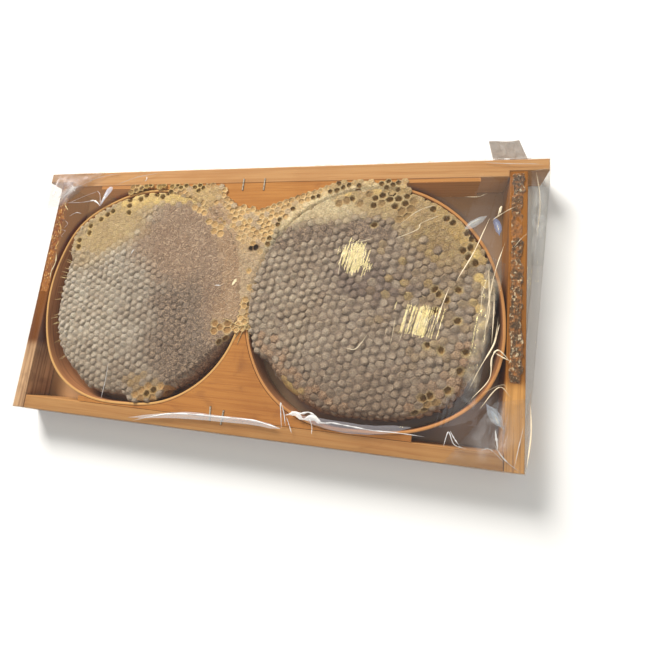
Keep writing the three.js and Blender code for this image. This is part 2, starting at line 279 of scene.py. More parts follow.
def closed_sheet(top: Array, thickness: float, tint: Array | None = None) -> Surface:
    """A thin closed sheet under a grid of points.

    Args:
        top: The upper side, as rows x columns x 3, with X along its columns and Y along its rows.
        thickness: How far the lower side lies below it.
        tint: Red, green, blue and a free value for each point of the grid, or None.

    Returns:
        The upper side, the same grid below it turned over, and a wall round both.
    """
    rows, columns = top.shape[:2]
    upper = top.reshape(-1, 3)
    lower = upper - (0.0, 0.0, thickness)
    quads = grid_faces(rows, columns)
    rim = border_of(rows, columns)
    after = np.roll(rim, -1)
    count = len(upper)
    wall = np.stack([after, rim, rim + count, after + count], axis=-1)
    colours = None if tint is None else np.vstack([tint.reshape(-1, 4)] * 2)
    return Surface(np.vstack([upper, lower]), [quads, quads[:, ::-1] + count, wall], colours)


def spindle(rings: Array, tips: Array) -> Surface:
    """A closed skin over rings of points, drawn to a point at each end.

    Args:
        rings: The points, as rings x points round x 3.
        tips: The points before the first ring and after the last.

    Returns:
        The skin.
    """
    count, sides = rings.shape[:2]
    number = count * sides
    first = np.arange(sides)
    second = (first + 1) % sides
    last = number - sides
    start = np.stack([np.full(sides, number), first, second], axis=-1)
    end = np.stack([np.full(sides, number + 1), last + second, last + first], axis=-1)
    quads = grid_faces(count, sides, wrap_columns=True)[:, ::-1]
    return Surface(np.vstack([rings.reshape(-1, 3), tips]), [quads, start, end])


def tinted(colour: Array | Colour, free: Array) -> Array:
    """Returns red, green, blue and the free value for each place of a grid."""
    return np.dstack([np.broadcast_to(colour, (*free.shape, 3)), free])


def tube(path: Array, radii: Array, sides: int = 6) -> Surface:
    """A closed round strand along a path.

    Each point of the path carries a circle of its radius, square to the path, and a point closes
    each end.

    Args:
        path: The strand's points, one row of x, y, z each.
        radii: Its radius at each of them.
        sides: How many points a circle has.

    Returns:
        The strand.
    """
    ahead = np.gradient(path, axis=0)
    ahead /= np.linalg.norm(ahead, axis=1, keepdims=True)
    side = np.cross(ahead, (0.0, 0.0, 1.0))
    side /= np.maximum(np.linalg.norm(side, axis=1, keepdims=True), 1e-6)
    up = np.cross(side, ahead)
    turn = np.linspace(0.0, 2 * np.pi, sides, endpoint=False)
    ring = np.cos(turn)[None, :, None] * side[:, None] + np.sin(turn)[None, :, None] * up[:, None]
    return spindle(path[:, None] + radii[:, None, None] * ring, path[[0, -1]])


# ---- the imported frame


@dataclass(frozen=True)
class Frame:
    """Sizes of the wooden frame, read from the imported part.

    Attributes:
        back: The height of the wood's back face.
        front: The height of its front face.
        half_width: From the middle to the end bars' outer faces.
        half_height: From the middle to the top and bottom bars' outer faces.
        top_inner: The top bar's inner face along Y.
        bottom_inner: The bottom bar's inner face along Y.
        left_inner: The left end bar's inner face along X.
        right_inner: The right end bar's inner face along X.
        lug_end: The end of a lug along X.
        lug_bottom: A lug's lower face along Y.
    """

    back: float
    front: float
    half_width: float
    half_height: float
    top_inner: float
    bottom_inner: float
    left_inner: float
    right_inner: float
    lug_end: float
    lug_bottom: float

    @property
    def midrib(self) -> float:
        """The height halfway through the wood."""
        return 0.5 * (self.back + self.front)

    @staticmethod
    def measured() -> Frame:
        """Reads the bars' boxes.

        Returns:
            The frame's sizes.
        """
        top_low, top_high = (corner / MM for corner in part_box("top_bar"))
        bottom_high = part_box("bottom_bar")[1] / MM
        left_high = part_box("end_bar_left")[1] / MM
        right_low, right_high = (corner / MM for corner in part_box("end_bar_right"))
        return Frame(
            back=top_low.z,
            front=top_high.z,
            half_width=right_high.x,
            half_height=top_high.y,
            top_inner=top_low.y,
            bottom_inner=bottom_high.y,
            left_inner=left_high.x,
            right_inner=right_low.x,
            lug_end=top_high.x,
            lug_bottom=right_high.y,
        )


# ---- node trees


class Recipe:
    """Builds one material's node tree from short calls."""

    def __init__(self, name: str) -> None:
        """Starts an empty tree with an output.

        Args:
            name: The material's name.
        """
        self.material = bpy.data.materials.new(name)
        self.material.use_nodes = True
        self.tree = self.material.node_tree
        self.tree.nodes.clear()
        self.output = self.tree.nodes.new("ShaderNodeOutputMaterial")
        self.place = self.node("ShaderNodeTexCoord").outputs["Object"]

    def node(self, kind: str, settings: dict | None = None, **inputs) -> bpy.types.Node:
        """Adds a node.

        Args:
            kind: The node's type name.
            settings: Properties to set on it.
            **inputs: A socket to link or a value to set, by input name, with _ for a space.

        Returns:
            The node.
        """
        made = self.tree.nodes.new(kind)
        for key, value in (settings or {}).items():
            setattr(made, key, value)
        for key, value in inputs.items():
            name = key.replace("_", " ")
            socket = made.inputs[int(name[1:]) if name[:1] == "i" and name[1:].isdigit() else name]
            if isinstance(value, Socket):
                self.tree.links.new(value, socket)
            else:
                socket.default_value = value
        return made

    def grain(self, place: Socket, detail: float = 3.0, **settings) -> Socket:
        """Returns noise at a place, with that much detail."""
        return self.node("ShaderNodeTexNoise", Vector=place, Scale=1.0, Detail=detail, **settings).outputs[0]

    def pattern(self, scale: Point3, detail: float = 3.0, turn: float = 0.0, **settings) -> Socket:
        """Returns noise over the piece.

        Args:
            scale: Patterns per millimetre along each axis.
            detail: How fine its smallest parts are.
            turn: The turn of the piece's plan before it is scaled.
            **settings: More values for the noise, by input name.

        Returns:
            The noise.
        """
        about_z = (0.0, 0.0, math.radians(turn))
        turned = self.node("ShaderNodeMapping", Vector=self.place, Rotation=about_z).outputs[0]
        per_metre = tuple(s / MM for s in scale)
        place = self.node("ShaderNodeMapping", Vector=turned, Scale=per_metre).outputs[0]
        return self.grain(place, detail, **settings)

    def band(self, value: Socket, low: float, high: float) -> Socket:
        """Returns a value eased from 0 at low to 1 at high."""
        settings = {"interpolation_type": "SMOOTHSTEP"}
        return self.node("ShaderNodeMapRange", settings, Value=value, From_Min=low, From_Max=high).outputs[0]

    def spread(self, value: Socket, low: float, high: float) -> Socket:
        """Returns a value from 0 to 1 as one from low to high."""
        return self.node("ShaderNodeMapRange", Value=value, To_Min=low, To_Max=high).outputs[0]

    def math(self, what: str, first: Socket | float, second: Socket | float = 0.5) -> Socket:
        """Returns two values put together by one operation."""
        return self.node("ShaderNodeMath", {"operation": what}, i0=first, i1=second).outputs[0]

    def times(self, first: Socket, second: Socket | float) -> Socket:
        """Returns two values multiplied."""
        return self.math("MULTIPLY", first, second)

    def mix(
        self, share: Socket | float, under: Socket | Colour, over: Socket | Colour, blend: str = "MIX"
    ) -> Socket:
        """Mixes two colours.

        Args:
            share: How much of the second shows, 0 to 1.
            under: The first colour.
            over: The second colour.
            blend: How the second meets the first.

        Returns:
            The mixed colour.
        """
        made = self.node("ShaderNodeMix", {"data_type": "RGBA", "blend_type": blend}, i0=share)
        for number, value in ((6, under), (7, over)):
            if isinstance(value, Socket):
                self.tree.links.new(value, made.inputs[number])
            else:
                made.inputs[number].default_value = (*value, 1.0)
        return made.outputs[2]

    def laid(
        self,
        under: Socket | Colour,
        over: Colour,
        value: Socket,
        low: float,
        high: float,
        share: float = 1.0,
    ) -> Socket:
        """Returns a colour laid over another where a value is high.

        Args:
            under: The colour beneath.
            over: The colour laid over it.
            value: What says where it lies.
            low: The value up to which none of it shows.
            high: The value from which its whole share shows.
            share: How far it covers.

        Returns:
            The colour of both.
        """
        return self.mix(self.times(self.band(value, low, high), share), under, over)

    def relief(self, height: Socket, depth: float, strength: float = 1.0) -> Socket:
        """Returns a bumped normal for a height from 0 to 1 that stands for a depth in millimetres."""
        return self.node("ShaderNodeBump", Height=height, Distance=depth * MM, Strength=strength).outputs[0]

    def tint(self) -> bpy.types.Node:
        """Returns the node that reads each point's own colour and free value."""
        return self.node("ShaderNodeAttribute", {"attribute_name": "Tint"})

    def surface(
        self, colour: Socket | Colour, roughness: Socket | float, normal: Socket | None = None, **inputs
    ) -> bpy.types.Node:
        """Adds the main shader with what every finish sets.

        Args:
            colour: Its colour.
            roughness: Its roughness.
            normal: Its bumped normal, or None.
            **inputs: More values, by input name.

        Returns:
            The shader's node.
        """
        if not isinstance(colour, Socket):
            colour = (*colour, 1.0)
        if normal is not None:
            inputs["Normal"] = normal
        return self.node("ShaderNodeBsdfPrincipled", Base_Color=colour, Roughness=roughness, **inputs)

    def finished(self, shader: bpy.types.Node) -> Material:
        """Ends the tree with a shader and returns the material."""
        self.tree.links.new(shader.outputs[0], self.output.inputs[0])
        return self.material


# ---- finishes


class Along(Enum):
    """The way that a board's grain runs."""

    X = (0.012, 0.55, 0.55)
    Y = (0.55, 0.012, 0.55)


FOOT_ENDS, FOOT_STARTS = -62.0, -52.0  # where an end bar's cleaner foot gives way to its soiled part


@dataclass(frozen=True)
class Timber:
    """Sawn wood: growth lines along the board, pores, blotches and stains.

    Attributes:
        name: The material's name.
        light: The early wood.
        dark: The late wood's lines.
        stain: What the stains are.
        along: The way of the grain.
        darkened: How much of the board is stained, 0 to 1.
        specks: How much is speckled with dark drops, 0 to 1.
        foot: The colour of its cleaner end by the bottom bar, or None.
        roughness: The shader's roughness.
    """

    name: str
    light: Colour
    dark: Colour
    stain: Colour
    along: Along
    darkened: float
    specks: float
    foot: Colour | None = None
    roughness: float = 0.55

    def material(self) -> Material:
        """Mixes growth lines, broad blotches, stains and specks over the light wood.

        Returns:
            The material.
        """
        r = Recipe(self.name)
        sx, sy, sz = self.along.value
        lines = r.pattern((sx, sy, sz), 5.0, Distortion=0.6)
        pores = r.pattern((sx * 4, sy * 5, sz * 5))
        blotches = r.pattern((0.02, 0.02, 0.02), 4.0)
        patches = r.pattern((0.045, 0.06, 0.05), 6.0, Distortion=0.8)
        drops = r.pattern((0.45, 0.45, 0.45), 2.0)
        wood = self.light
        if self.foot is not None:
            along = r.node("ShaderNodeSeparateXYZ", Vector=r.place).outputs["Y"]
            wood = r.mix(r.band(along, FOOT_ENDS * MM, FOOT_STARTS * MM), self.foot, wood)
        wood = r.laid(wood, self.dark, lines, 0.4, 0.72, 0.55)
        wood = r.laid(wood, self.dark, blotches, 0.4, 0.75, 0.4)
        wood = r.laid(wood, self.stain, patches, 0.74 - 0.3 * self.darkened, 0.86, 0.62)
        wood = r.laid(wood, self.stain, drops, 0.8 - 0.14 * self.specks, 0.84, 0.7)
        wood = r.mix(r.times(r.band(pores, 0.5, 0.8), 0.18), wood, self.dark, "MULTIPLY")
        normal = r.relief(r.math("ADD", r.times(lines, 0.5), r.times(pores, 0.6)), 0.35, 0.55)
        rough = r.spread(pores, self.roughness - 0.1, self.roughness + 0.15)
        return r.finished(r.surface(wood, rough, normal, Specular_IOR_Level=0.25))


@dataclass(frozen=True)
class BentWood:
    """A steamed strip, its grain running round the hoop, its rims lighter.

    Attributes:
        name: The material's name.
        inside: The wood's walls.
        rim: The lighter colour of the rims.
        line: The grain's lines and blotches.
    """

    name: str
    inside: Colour
    rim: Colour
    line: Colour

    def material(self) -> Material:
        """Reads the grain's own coordinates, and lightens what the free value marks as rim.

        Returns:
            The material.
        """
        r = Recipe(self.name)
        grain = r.node("ShaderNodeUVMap", {"uv_map": "Grain"}).outputs[0]
        place = r.node("ShaderNodeMapping", Vector=grain, Scale=(0.02, 0.7, 1.0)).outputs[0]
        lines = r.grain(place, 5.0, Distortion=0.4)
        blotches = r.pattern((0.03, 0.03, 0.05))
        wood = r.laid(self.inside, self.line, lines, 0.4, 0.7)
        wood = r.laid(wood, self.line, blotches, 0.45, 0.8, 0.5)
        wood = r.mix(r.tint().outputs["Alpha"], wood, self.rim)
        return r.finished(r.surface(wood, 0.42, r.relief(lines, 0.3, 0.5), Specular_IOR_Level=0.45))


@dataclass(frozen=True)
class Wax:
    """Comb wax: each point's own colour, fine grain, and thread-like ridges where the caps lie wet.

    Attributes:
        name: The material's name.
        ridge: The colour of the ridges.
        grime: What travel stain leaves in broad patches.
        roughness: The shader's roughness.
    """

    name: str
    ridge: Colour
    grime: Colour
    roughness: float = 0.5

    def material(self) -> Material:
        """The free value of each point says how wet its cap is.

        Returns:
            The material.
        """
        r = Recipe(self.name)
        tint = r.tint()
        bends = r.pattern((0.36, 0.36, 0.36), 0.5, Distortion=0.5)
        off = r.math("ABSOLUTE", r.math("SUBTRACT", bends, 0.5))
        thread = r.math("SUBTRACT", 1.0, r.band(off, 0.01, 0.075))
        ridges = r.times(thread, tint.outputs["Alpha"])
        fine = r.pattern((2.4, 2.4, 2.4), 4.0)
        knobs = r.pattern((0.85, 0.85, 0.85))
        patches = r.pattern((0.16, 0.16, 0.16), 4.0)
        # The colour follows the bump: a fine mottle of the wax, and darker in the pits as painted shade.
        mixed = r.math("ADD", r.times(fine, 0.35), r.times(knobs, 0.65))
        ends = {"From_Min": 0.34, "From_Max": 0.66, "To_Min": 0.7, "To_Max": 1.3}
        shade = r.node("ShaderNodeMapRange", Value=mixed, **ends).outputs[0]
        pit_shade_and_mottle = r.node("ShaderNodeCombineColor", Red=shade, Green=shade, Blue=shade).outputs[0]
        colour = r.mix(1.0, tint.outputs["Color"], pit_shade_and_mottle, "MULTIPLY")
        colour = r.laid(colour, self.grime, patches, 0.5, 0.8, 0.25)
        colour = r.mix(r.times(ridges, 0.72), colour, self.ridge)
        grain = r.math("ADD", r.times(fine, 0.28), r.times(knobs, 1.5))
        height = r.math("ADD", r.times(ridges, 0.8), grain)
        shader = r.surface(
            colour,
            self.roughness,
            r.relief(height, 0.72, 0.9),
            Subsurface_Weight=0.12,
            Subsurface_Radius=(1.0, 0.6, 0.3),
            Subsurface_Scale=1.2 * MM,
        )
        return r.finished(shader)


@dataclass(frozen=True)
class Crust:
    """Propolis: dark resin with amber edges, a broken gloss, and pale glints that are painted highlights.

    Attributes:
        name: The material's name.
        dark: The thick resin.
        amber: The thin resin and its flecks.
        painted_glint: The glints.
    """

    name: str
    dark: Colour
    amber: Colour
    painted_glint: Colour

    def material(self) -> Material:
        """The free value of each point says how thick the crust is there.

        Returns:
            The material.
        """
        r = Recipe(self.name)
        thick = r.tint().outputs["Alpha"]
        flecks = r.pattern((0.3, 0.22, 0.3), 5.0)
        painted_glint = r.pattern((0.55, 0.4, 0.55), 4.0)
        clusters = r.pattern((0.2, 0.11, 0.2), 2.0)
        # The pale flecks are painted highlights: the resin's glints laid into its colour.
        sparkle = r.times(r.band(painted_glint, 0.54, 0.66), r.band(thick, 0.2, 0.5))
        glints = r.times(sparkle, r.band(clusters, 0.4, 0.52))
        colour = r.laid(self.dark, self.amber, flecks, 0.42, 0.7, 0.9)
        colour = r.mix(r.times(glints, 0.85), colour, self.painted_glint)
        colour = r.mix(r.band(thick, 0.05, 0.7), self.amber, colour)
        normal = r.relief(flecks, 0.8, 0.9)
        shader = r.surface(colour, r.spread(flecks, 0.12, 0.6), normal, Coat_Weight=0.4, Coat_Roughness=0.15)
        return r.finished(shader)


@dataclass(frozen=True)
class Wire:
    """Staple wire: bright steel that has dulled in patches.

    Attributes:
        name: The material's name.
        steel: The bright steel.
        tarnish: The dulled patches.
    """

    name: str
    steel: Colour
    tarnish: Colour

    def material(self) -> Material:
        """Mottles the steel's colour and gloss.

        Returns:
            The material.
        """
        r = Recipe(self.name)
        dull = r.pattern((0.6, 0.6, 0.6), 4.0)
        colour = r.laid(self.steel, self.tarnish, dull, 0.4, 0.75)
        bumps = r.relief(dull, 0.05, 0.5)
        return r.finished(r.surface(colour, r.spread(dull, 0.2, 0.55), bumps, Metallic=0.35))


@dataclass(frozen=True)
class ClearFilm:
    """Clear film: light passes it, and it mirrors what stands over it.

    Attributes:
        name: The material's name.
        haze: The pale colour of its cloudy part: crease whitening and the folds' painted glare.
        passes: The colour of the light that it lets through.
        gloss: The roughness of its mirror.
        ripple: The depth of its fine ripples in millimetres.
        head_on: The share that it mirrors where it is seen head on.
        grazing: The further share that it mirrors at a grazing view.
    """

    name: str
    haze: Colour
    passes: Colour = (0.98, 0.98, 0.97)
    gloss: float = 0.025
    ripple: float = 0.07
    head_on: float = 0.05
    grazing: float = 0.9

    def material(self) -> Material:
        """Mixes through-light, a mirror by the angle of view, and haze by each point's free value.

        Returns:
            The material.
        """
        r = Recipe(self.name)
        normal = r.relief(r.pattern((0.4, 0.016, 0.05), 1.0, turn=13.0), self.ripple)
        through = r.node("ShaderNodeBsdfTransparent", Color=(*self.passes, 1.0))
        mirror = r.node("ShaderNodeBsdfGlossy", Color=(*WHITE, 1.0), Roughness=self.gloss, Normal=normal)
        facing = r.node("ShaderNodeLayerWeight", Blend=0.5, Normal=normal).outputs["Facing"]
        angle = r.math("ADD", r.times(r.math("POWER", facing, 5.0), self.grazing), self.head_on)
        clear = r.node("ShaderNodeMixShader", i0=angle, i1=through.outputs[0], i2=mirror.outputs[0])
        tint = r.tint()
        pale = r.mix(1.0, self.haze, tint.outputs["Color"], "MULTIPLY")
        cloudy = r.surface(pale, 0.25, normal, Specular_IOR_Level=0.8)
        share = tint.outputs["Alpha"]
        return r.finished(r.node("ShaderNodeMixShader", i0=share, i1=clear.outputs[0], i2=cloudy.outputs[0]))


@dataclass(frozen=True)
class TableTop:
    """The plain pale floor.

    Attributes:
        name: The material's name.
        colour: The floor's colour.
        mottle: The colour of its faint mottling.
    """

    name: str
    colour: Colour
    mottle: Colour = (0.7, 0.7, 0.7)

    def material(self) -> Material:
        """A matt surface with the least mottling.

        Returns:
            The material.
        """
        r = Recipe(self.name)
        colour = r.mix(r.times(r.pattern((0.01, 0.01, 0.01), 2.0), 0.04), self.colour, self.mottle)
        return r.finished(r.surface(colour, 0.9, Specular_IOR_Level=0.1))


# ---- hoops


@dataclass(frozen=True)
class HoopLine:
    """The plan of one hoop and of the comb in it.

    Attributes:
        centre: The hoop's centre.
        swells: Where it leaves the round: direction, reach and half width of each swell.
        space: The clear space between comb and hoop, as direction and width, eased between.
    """

    centre: Point
    swells: tuple[Point3, ...]
    space: tuple[Point, ...]

    def outside(self, x: Array, y: Array) -> Array:
        """The hoop's outer radius towards places about its centre.

        The round radius, and for each swell its reach times e to the power of minus the square of the
        turn from its direction over its half width.

        Args:
            x: Places along X, about the hoop's centre.
            y: Places along Y.

        Returns:
            The radius for each place.
        """
        degrees = np.degrees(np.arctan2(y, x))
        radius = np.full(np.shape(degrees), HOOP_RADIUS)
        for direction, reach, width in self.swells:
            turn = (degrees - direction + 180.0) % 360.0 - 180.0
            radius = radius + reach * np.exp(-((turn / width) ** 2))
        return radius

    def clear(self, x: Array, y: Array) -> Array:
        """The space between comb and hoop towards places about the centre.

        Args:
            x: Places along X, about the hoop's centre.
            y: Places along Y.

        Returns:
            The width of the space for each place.
        """
        directions = np.array([d for d, _ in self.space] + [self.space[0][0] + 360.0])
        widths = np.array([w for _, w in self.space] + [self.space[0][1]])
        degrees = (np.degrees(np.arctan2(y, x)) - directions[0]) % 360.0 + directions[0]
        k = np.clip(np.searchsorted(directions, degrees, "right") - 1, 0, len(directions) - 2)
        share = smoothstep((degrees - directions[k]) / (directions[k + 1] - directions[k]), 0.0, 1.0)
        return widths[k] + (widths[k + 1] - widths[k]) * share

    def beyond_wall(self, x: Array, y: Array) -> Array:
        """How far places in the frame lie outside the hoop's inner wall, less than nought inside it."""
        dx, dy = x - self.centre[0], y - self.centre[1]
        return np.hypot(dx, dy) - (self.outside(dx, dy) - HOOP_WALL)


HOOP_RADIUS = 100.8
HOOP_WALL = 2.2
LEFT_HOOP = HoopLine(
    (-102.7, -4.4),
    ((-135, 5.5, 24), (-35, 2.5, 28), (-88, -2.6, 16), (90, 0.6, 40), (141, 3.4, 17)),
    ((-180, 9), (-155, 8), (-130, 9.5), (-112, 5.5), (-92, 6), (-84, 0.5), (-70, 0.5), (-62, 7.5),
     (-40, 8.2), (-26, 6), (-16, 0.5), (148, 0.4), (154, 3), (162, 8), (172, 9)),
)
RIGHT_HOOP = HoopLine(
    (99.9, -6.9),
    ((-30, 7.0, 24), (-135, 2.0, 20), (-87, -5.0, 20), (85, 3.0, 40)),
    ((-172, 0.5), (-156, 1.5), (-146, 9.5), (-125, 10.5), (-100, 8.5), (-70, 7.2), (-48, 6.5), (-28, 11.5),
     (-14, 11), (2, 3.5), (14, 0.6), (30, 0.25), (68, 0.25)),
)


def beyond_hoops(x: Array, y: Array) -> Array:
    """How far places lie outside the inner wall of the nearer hoop, less than nought inside one."""
    return np.minimum(LEFT_HOOP.beyond_wall(x, y), RIGHT_HOOP.beyond_wall(x, y))


@dataclass
class BentHoop:
    """One bentwood hoop: a thin strip on edge, its rims rounded by wear and never quite level.

    Attributes:
        side: left or right.
        line: Its plan.
        steps: Points round the hoop.
        wear: How far the rims are rounded.
        waver: How far the rims rise and fall.
    """

    side: str
    line: HoopLine
    steps: int = 360
    wear: float = 0.5
    waver: float = 0.12

    def surface(self, low: float, high: float) -> Surface:
        """Carries a strip's section round the plan.

        The section is a tall narrow rectangle with its corners cut by the wear. Each of its points
        keeps its distance from the outer wall and its height, which wavers a little on the way round.

        Args:
            low: The height of the lower rim.
            high: The height of the upper rim.

        Returns:
            The closed strip, its grain as length round the hoop and height, the rims marked.
        """
        w, t, e = HOOP_WALL, high - low, self.wear
        middle = np.linspace(e, t - e, 5)
        inner = [(-w, z, 0.0) for z in middle[::-1]]
        outer = [(0.0, z, 0.0) for z in middle]
        near, below = 0.15 * e, 0.4 * e
        top = [(-near, t - below, 0.6), (-e, t, 1.0), (-w + e, t, 1.0), (-w + near, t - below, 0.6)]
        foot = [(-w + near, below, 0.6), (-w + e, 0.0, 1.0), (-e, 0.0, 1.0), (-near, below, 0.6)]
        section = np.array([*outer, *top, *inner, *foot])
        turn = np.linspace(0.0, 2 * np.pi, self.steps, endpoint=False)
        x, y = np.cos(turn), np.sin(turn)
        radius = self.line.outside(x, y)[:, None] + section[None, :, 0]
        shift = self.waver * noise(x * 60, y * 60, 17.0, 3)[:, None] * (section[None, :, 1] / t - 0.5)
        height = low + section[None, :, 1] + shift
        cx, cy = self.line.centre
        points = np.stack([cx + radius * x[:, None], cy + radius * y[:, None], height], axis=-1)
        seam = HOOP_RADIUS * np.broadcast_to(np.abs(turn - np.pi)[:, None], height.shape)
        grain = np.stack([seam, height + section[None, :, 0]], axis=-1).reshape(-1, 2)
        tint = np.ones((self.steps, len(section), 4))
        tint[..., 3] = section[:, 2]
        quads = grid_faces(self.steps, len(section), wrap_rows=True, wrap_columns=True)
        return Surface(points.reshape(-1, 3), [quads[:, ::-1]], tint.reshape(-1, 4), grain)

    def make(self, finish: Material) -> None:
        """Builds the hoop at its node's height and puts it in the node's place.

        Args:
            finish: Its material.
        """
        node = f"hoop_{self.side}"
        low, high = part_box(node)
        piece = self.surface(low.z / MM, high.z / MM).build(f"bent_{node}", finish)
        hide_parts(node)
        dress(piece)


def dress(piece: Piece) -> None:
    """Says which body a piece rides on."""
    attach(piece, BODY)


# ---- cells


class Cell(Enum):
    """How a cell's cap or mouth is shaped.

    Each value holds the rings from the middle outwards as shares of the way to the cell's border, and
    the height of each ring and of the border in millimetres, for a cell of the usual width.
    """

    DOMED = ((0.0, 0.34, 0.62, 0.84, 1.0), (1.2, 1.06, 0.74, 0.26, -0.12))
    FLAT_CAP = ((0.0, 0.42, 0.70, 0.87, 1.0), (0.86, 0.76, 0.55, 0.16, -0.2))
    LOW = ((0.0, 0.40, 0.68, 0.87, 1.0), (0.5, 0.46, 0.34, 0.08, -0.14))
    SMOOTH = ((0.0, 0.36, 0.63, 0.84, 1.0), (0.2, 0.17, 0.12, 0.06, 0.0))
    WET = ((0.0, 0.36, 0.63, 0.84, 1.0), (0.2, 0.14, 0.07, 0.0, -0.08))
    OPEN = ((0.0, 0.56, 0.76, 0.89, 1.0), (-0.62, -0.6, -0.5, 0.0, 0.12))
    DEEP = ((0.0, 0.50, 0.64, 0.75, 1.0), (-2.0, -1.9, -1.5, 0.06, 0.12))


SIDES = 12  # border points of a cell: its corners and its sides' middles
RINGS = 3  # rings of points between a cell's middle and its border


@dataclass(frozen=True)
class Tone:
    """The colours of one kind of cell from its middle outwards, and how wet it looks.

    Attributes:
        middle: The colour of its middle; in open cells partly their own colour, partly painted shade.
        ring: The colour halfway out.
        border: The colour of its walls' tops; on caps darker than the middle, as painted groove shade.
        wet: How wet it looks, 0 to 1.
    """

    middle: Colour
    ring: Colour
    border: Colour
    wet: float = 0.0

    def rings(self) -> Array:
        """One row of red, green, blue and wetness for each ring and the border."""
        m, r, b = np.array(self.middle), np.array(self.ring), np.array(self.border)
        colours = np.stack([m, 0.5 * m + 0.5 * r, r, 0.5 * r + 0.5 * b, b])
        return np.column_stack([colours, np.full(RINGS + 2, self.wet)])


NEAR = 4.5  # how near a cell's middle lies to the place that picks it


@dataclass(frozen=True)
class Patch:
    """A stretch of comb with one kind of cell and one tone.

    It covers an ellipse with a ragged edge, or a band along a line. Capped kinds fade into what lies
    round them, and open cells are open or not.

    Attributes:
        cell: The kind of its cells.
        tone: Their colours.
        centre: The ellipse's centre.
        size: Its two half axes.
        turn: The turn of its first axis.
        share: How many of the cells in it are of this kind.
        line: Points of a line that takes the ellipse's place; size then holds its half width twice.
        spots: Places whose nearest cells it takes, in place of the ellipse.
    """

    cell: Cell
    tone: Tone
    centre: Point = (0.0, 0.0)
    size: Point = (10.0, 10.0)
    turn: float = 0.0
    share: float = 1.0
    line: tuple[Point, ...] = ()
    spots: tuple[Point, ...] = ()

    def takes(self, x: Array, y: Array, luck: Array) -> Array:
        """How far it takes places, 0 to 1: those inside its ragged edge whose luck is under its share.

        Args:
            x: Places along X.
            y: Places along Y.
            luck: A number from 0 to 1 for each place, drawn at random.

        Returns:
            The share for each place.
        """
        if self.spots:
            far = np.linalg.norm(np.column_stack([x, y])[:, None] - np.array(self.spots), axis=2)
            taken = np.zeros(len(x))
            taken[far.argmin(axis=0)[far.min(axis=0) < NEAR]] = 1.0
            return taken
        if self.line:
            stretch = np.column_stack([np.array(self.line), np.zeros(len(self.line))])
            inside = distance_to_line(x, y, stretch)[0] / self.size[0]
        else:
            dx, dy = x - self.centre[0], y - self.centre[1]
            c, s = math.cos(math.radians(self.turn)), math.sin(math.radians(self.turn))
            inside = np.hypot((dx * c + dy * s) / self.size[0], (dy * c - dx * s) / self.size[1])
            inside = inside + 0.17 * noise(x, y, 11.0, 21) + 0.12 * (luck - 0.5)
        fade = 0.05 if self.cell in (Cell.OPEN, Cell.DEEP) else 0.4
        amount = 1.0 - smoothstep(inside, 1.0 - fade, 1.0 + fade)
        if fade < 0.1:
            amount = amount > 0.5
        return amount * (luck < self.share)


@dataclass
class CellField:
    """Cells side by side over a plan.

    The cells' middles stand on a six-sided lattice, each moved a little at random. A corner is the
    mean of the three middles around it, so neighbours share their corners and sides. Then each middle
    is moved again, so that caps lean.

    Attributes:
        pitch: The width of a cell.
        heading: The direction of its rows.
        jitter: How far middles are moved, as a share of the width.
        seed: Which random numbers.
    """

    pitch: float
    heading: float
    jitter: float
    seed: int

    def lay(self, reach: float, inside: Callable[[Array, Array], Array]) -> tuple[Array, Array, Array]:
        """Lays the cells whose middles a test takes.

        Args:
            reach: The half width of the area to fill, about the origin.
            inside: The test, from x and y to yes or no.

        Returns:
            The middles; the shared border points; and each cell's twelve border points by number,
            corners and sides' middles by turns, anticlockwise.
        """
        count = int(reach / (0.86 * self.pitch)) + 4
        i, j = np.meshgrid(np.arange(-count, count + 1), np.arange(-count, count + 1), indexing="ij")
        h = math.radians(self.heading)
        one = self.pitch * np.array([math.cos(h), math.sin(h)])
        two = self.pitch * np.array([math.cos(h + math.pi / 3), math.sin(h + math.pi / 3)])
        spread = np.random.default_rng(SEED + self.seed).normal(0.0, self.jitter * self.pitch, (*i.shape, 2))
        middle = i[..., None] * one + j[..., None] * two + spread
        bends = [noise(middle[..., 0], middle[..., 1], 31.0, self.seed + k) for k in (5, 6)]
        middle = middle + 0.22 * self.pitch * np.stack(bends, -1)
        ups = (middle[:-1, :-1] + middle[1:, :-1] + middle[:-1, 1:]) / 3.0
        downs = (middle[1:, :-1] + middle[:-1, 1:] + middle[1:, 1:]) / 3.0
        core = middle[1:-1, 1:-1]
        n = core.shape[0]
        here, left = slice(1, n + 1), slice(0, n)
        first = [ups[here, here], downs[left, here], ups[left, here]]
        second = [downs[left, left], ups[here, left], downs[here, left]]
        corners = np.stack(first + second, axis=2)
        keep = inside(core[..., 0], core[..., 1])
        wander = 1.6 * np.roll(spread, 7, axis=0)[1:-1, 1:-1]
        middles = (core + wander)[keep]
        corners = corners[keep]
        sides = 0.5 * (corners + np.roll(corners, -1, axis=1))
        border = np.stack([corners, sides], axis=2).reshape(-1, 2)
        rounded = np.round(border * 1e4).astype(np.int64)
        _, first, number = np.unique(rounded, axis=0, return_index=True, return_inverse=True)
        return middles, border[first], number.reshape(-1, SIDES)


def outer_edges(numbers: Array) -> Array:
    """The sides that only one cell has, each as its two border points in the cell's own turn."""
    sides = np.stack([numbers, np.roll(numbers, -1, axis=1)], axis=-1).reshape(-1, 2)
    _, back, times = np.unique(np.sort(sides, axis=1), axis=0, return_inverse=True, return_counts=True)
    return sides[times[back.ravel()] == 1]


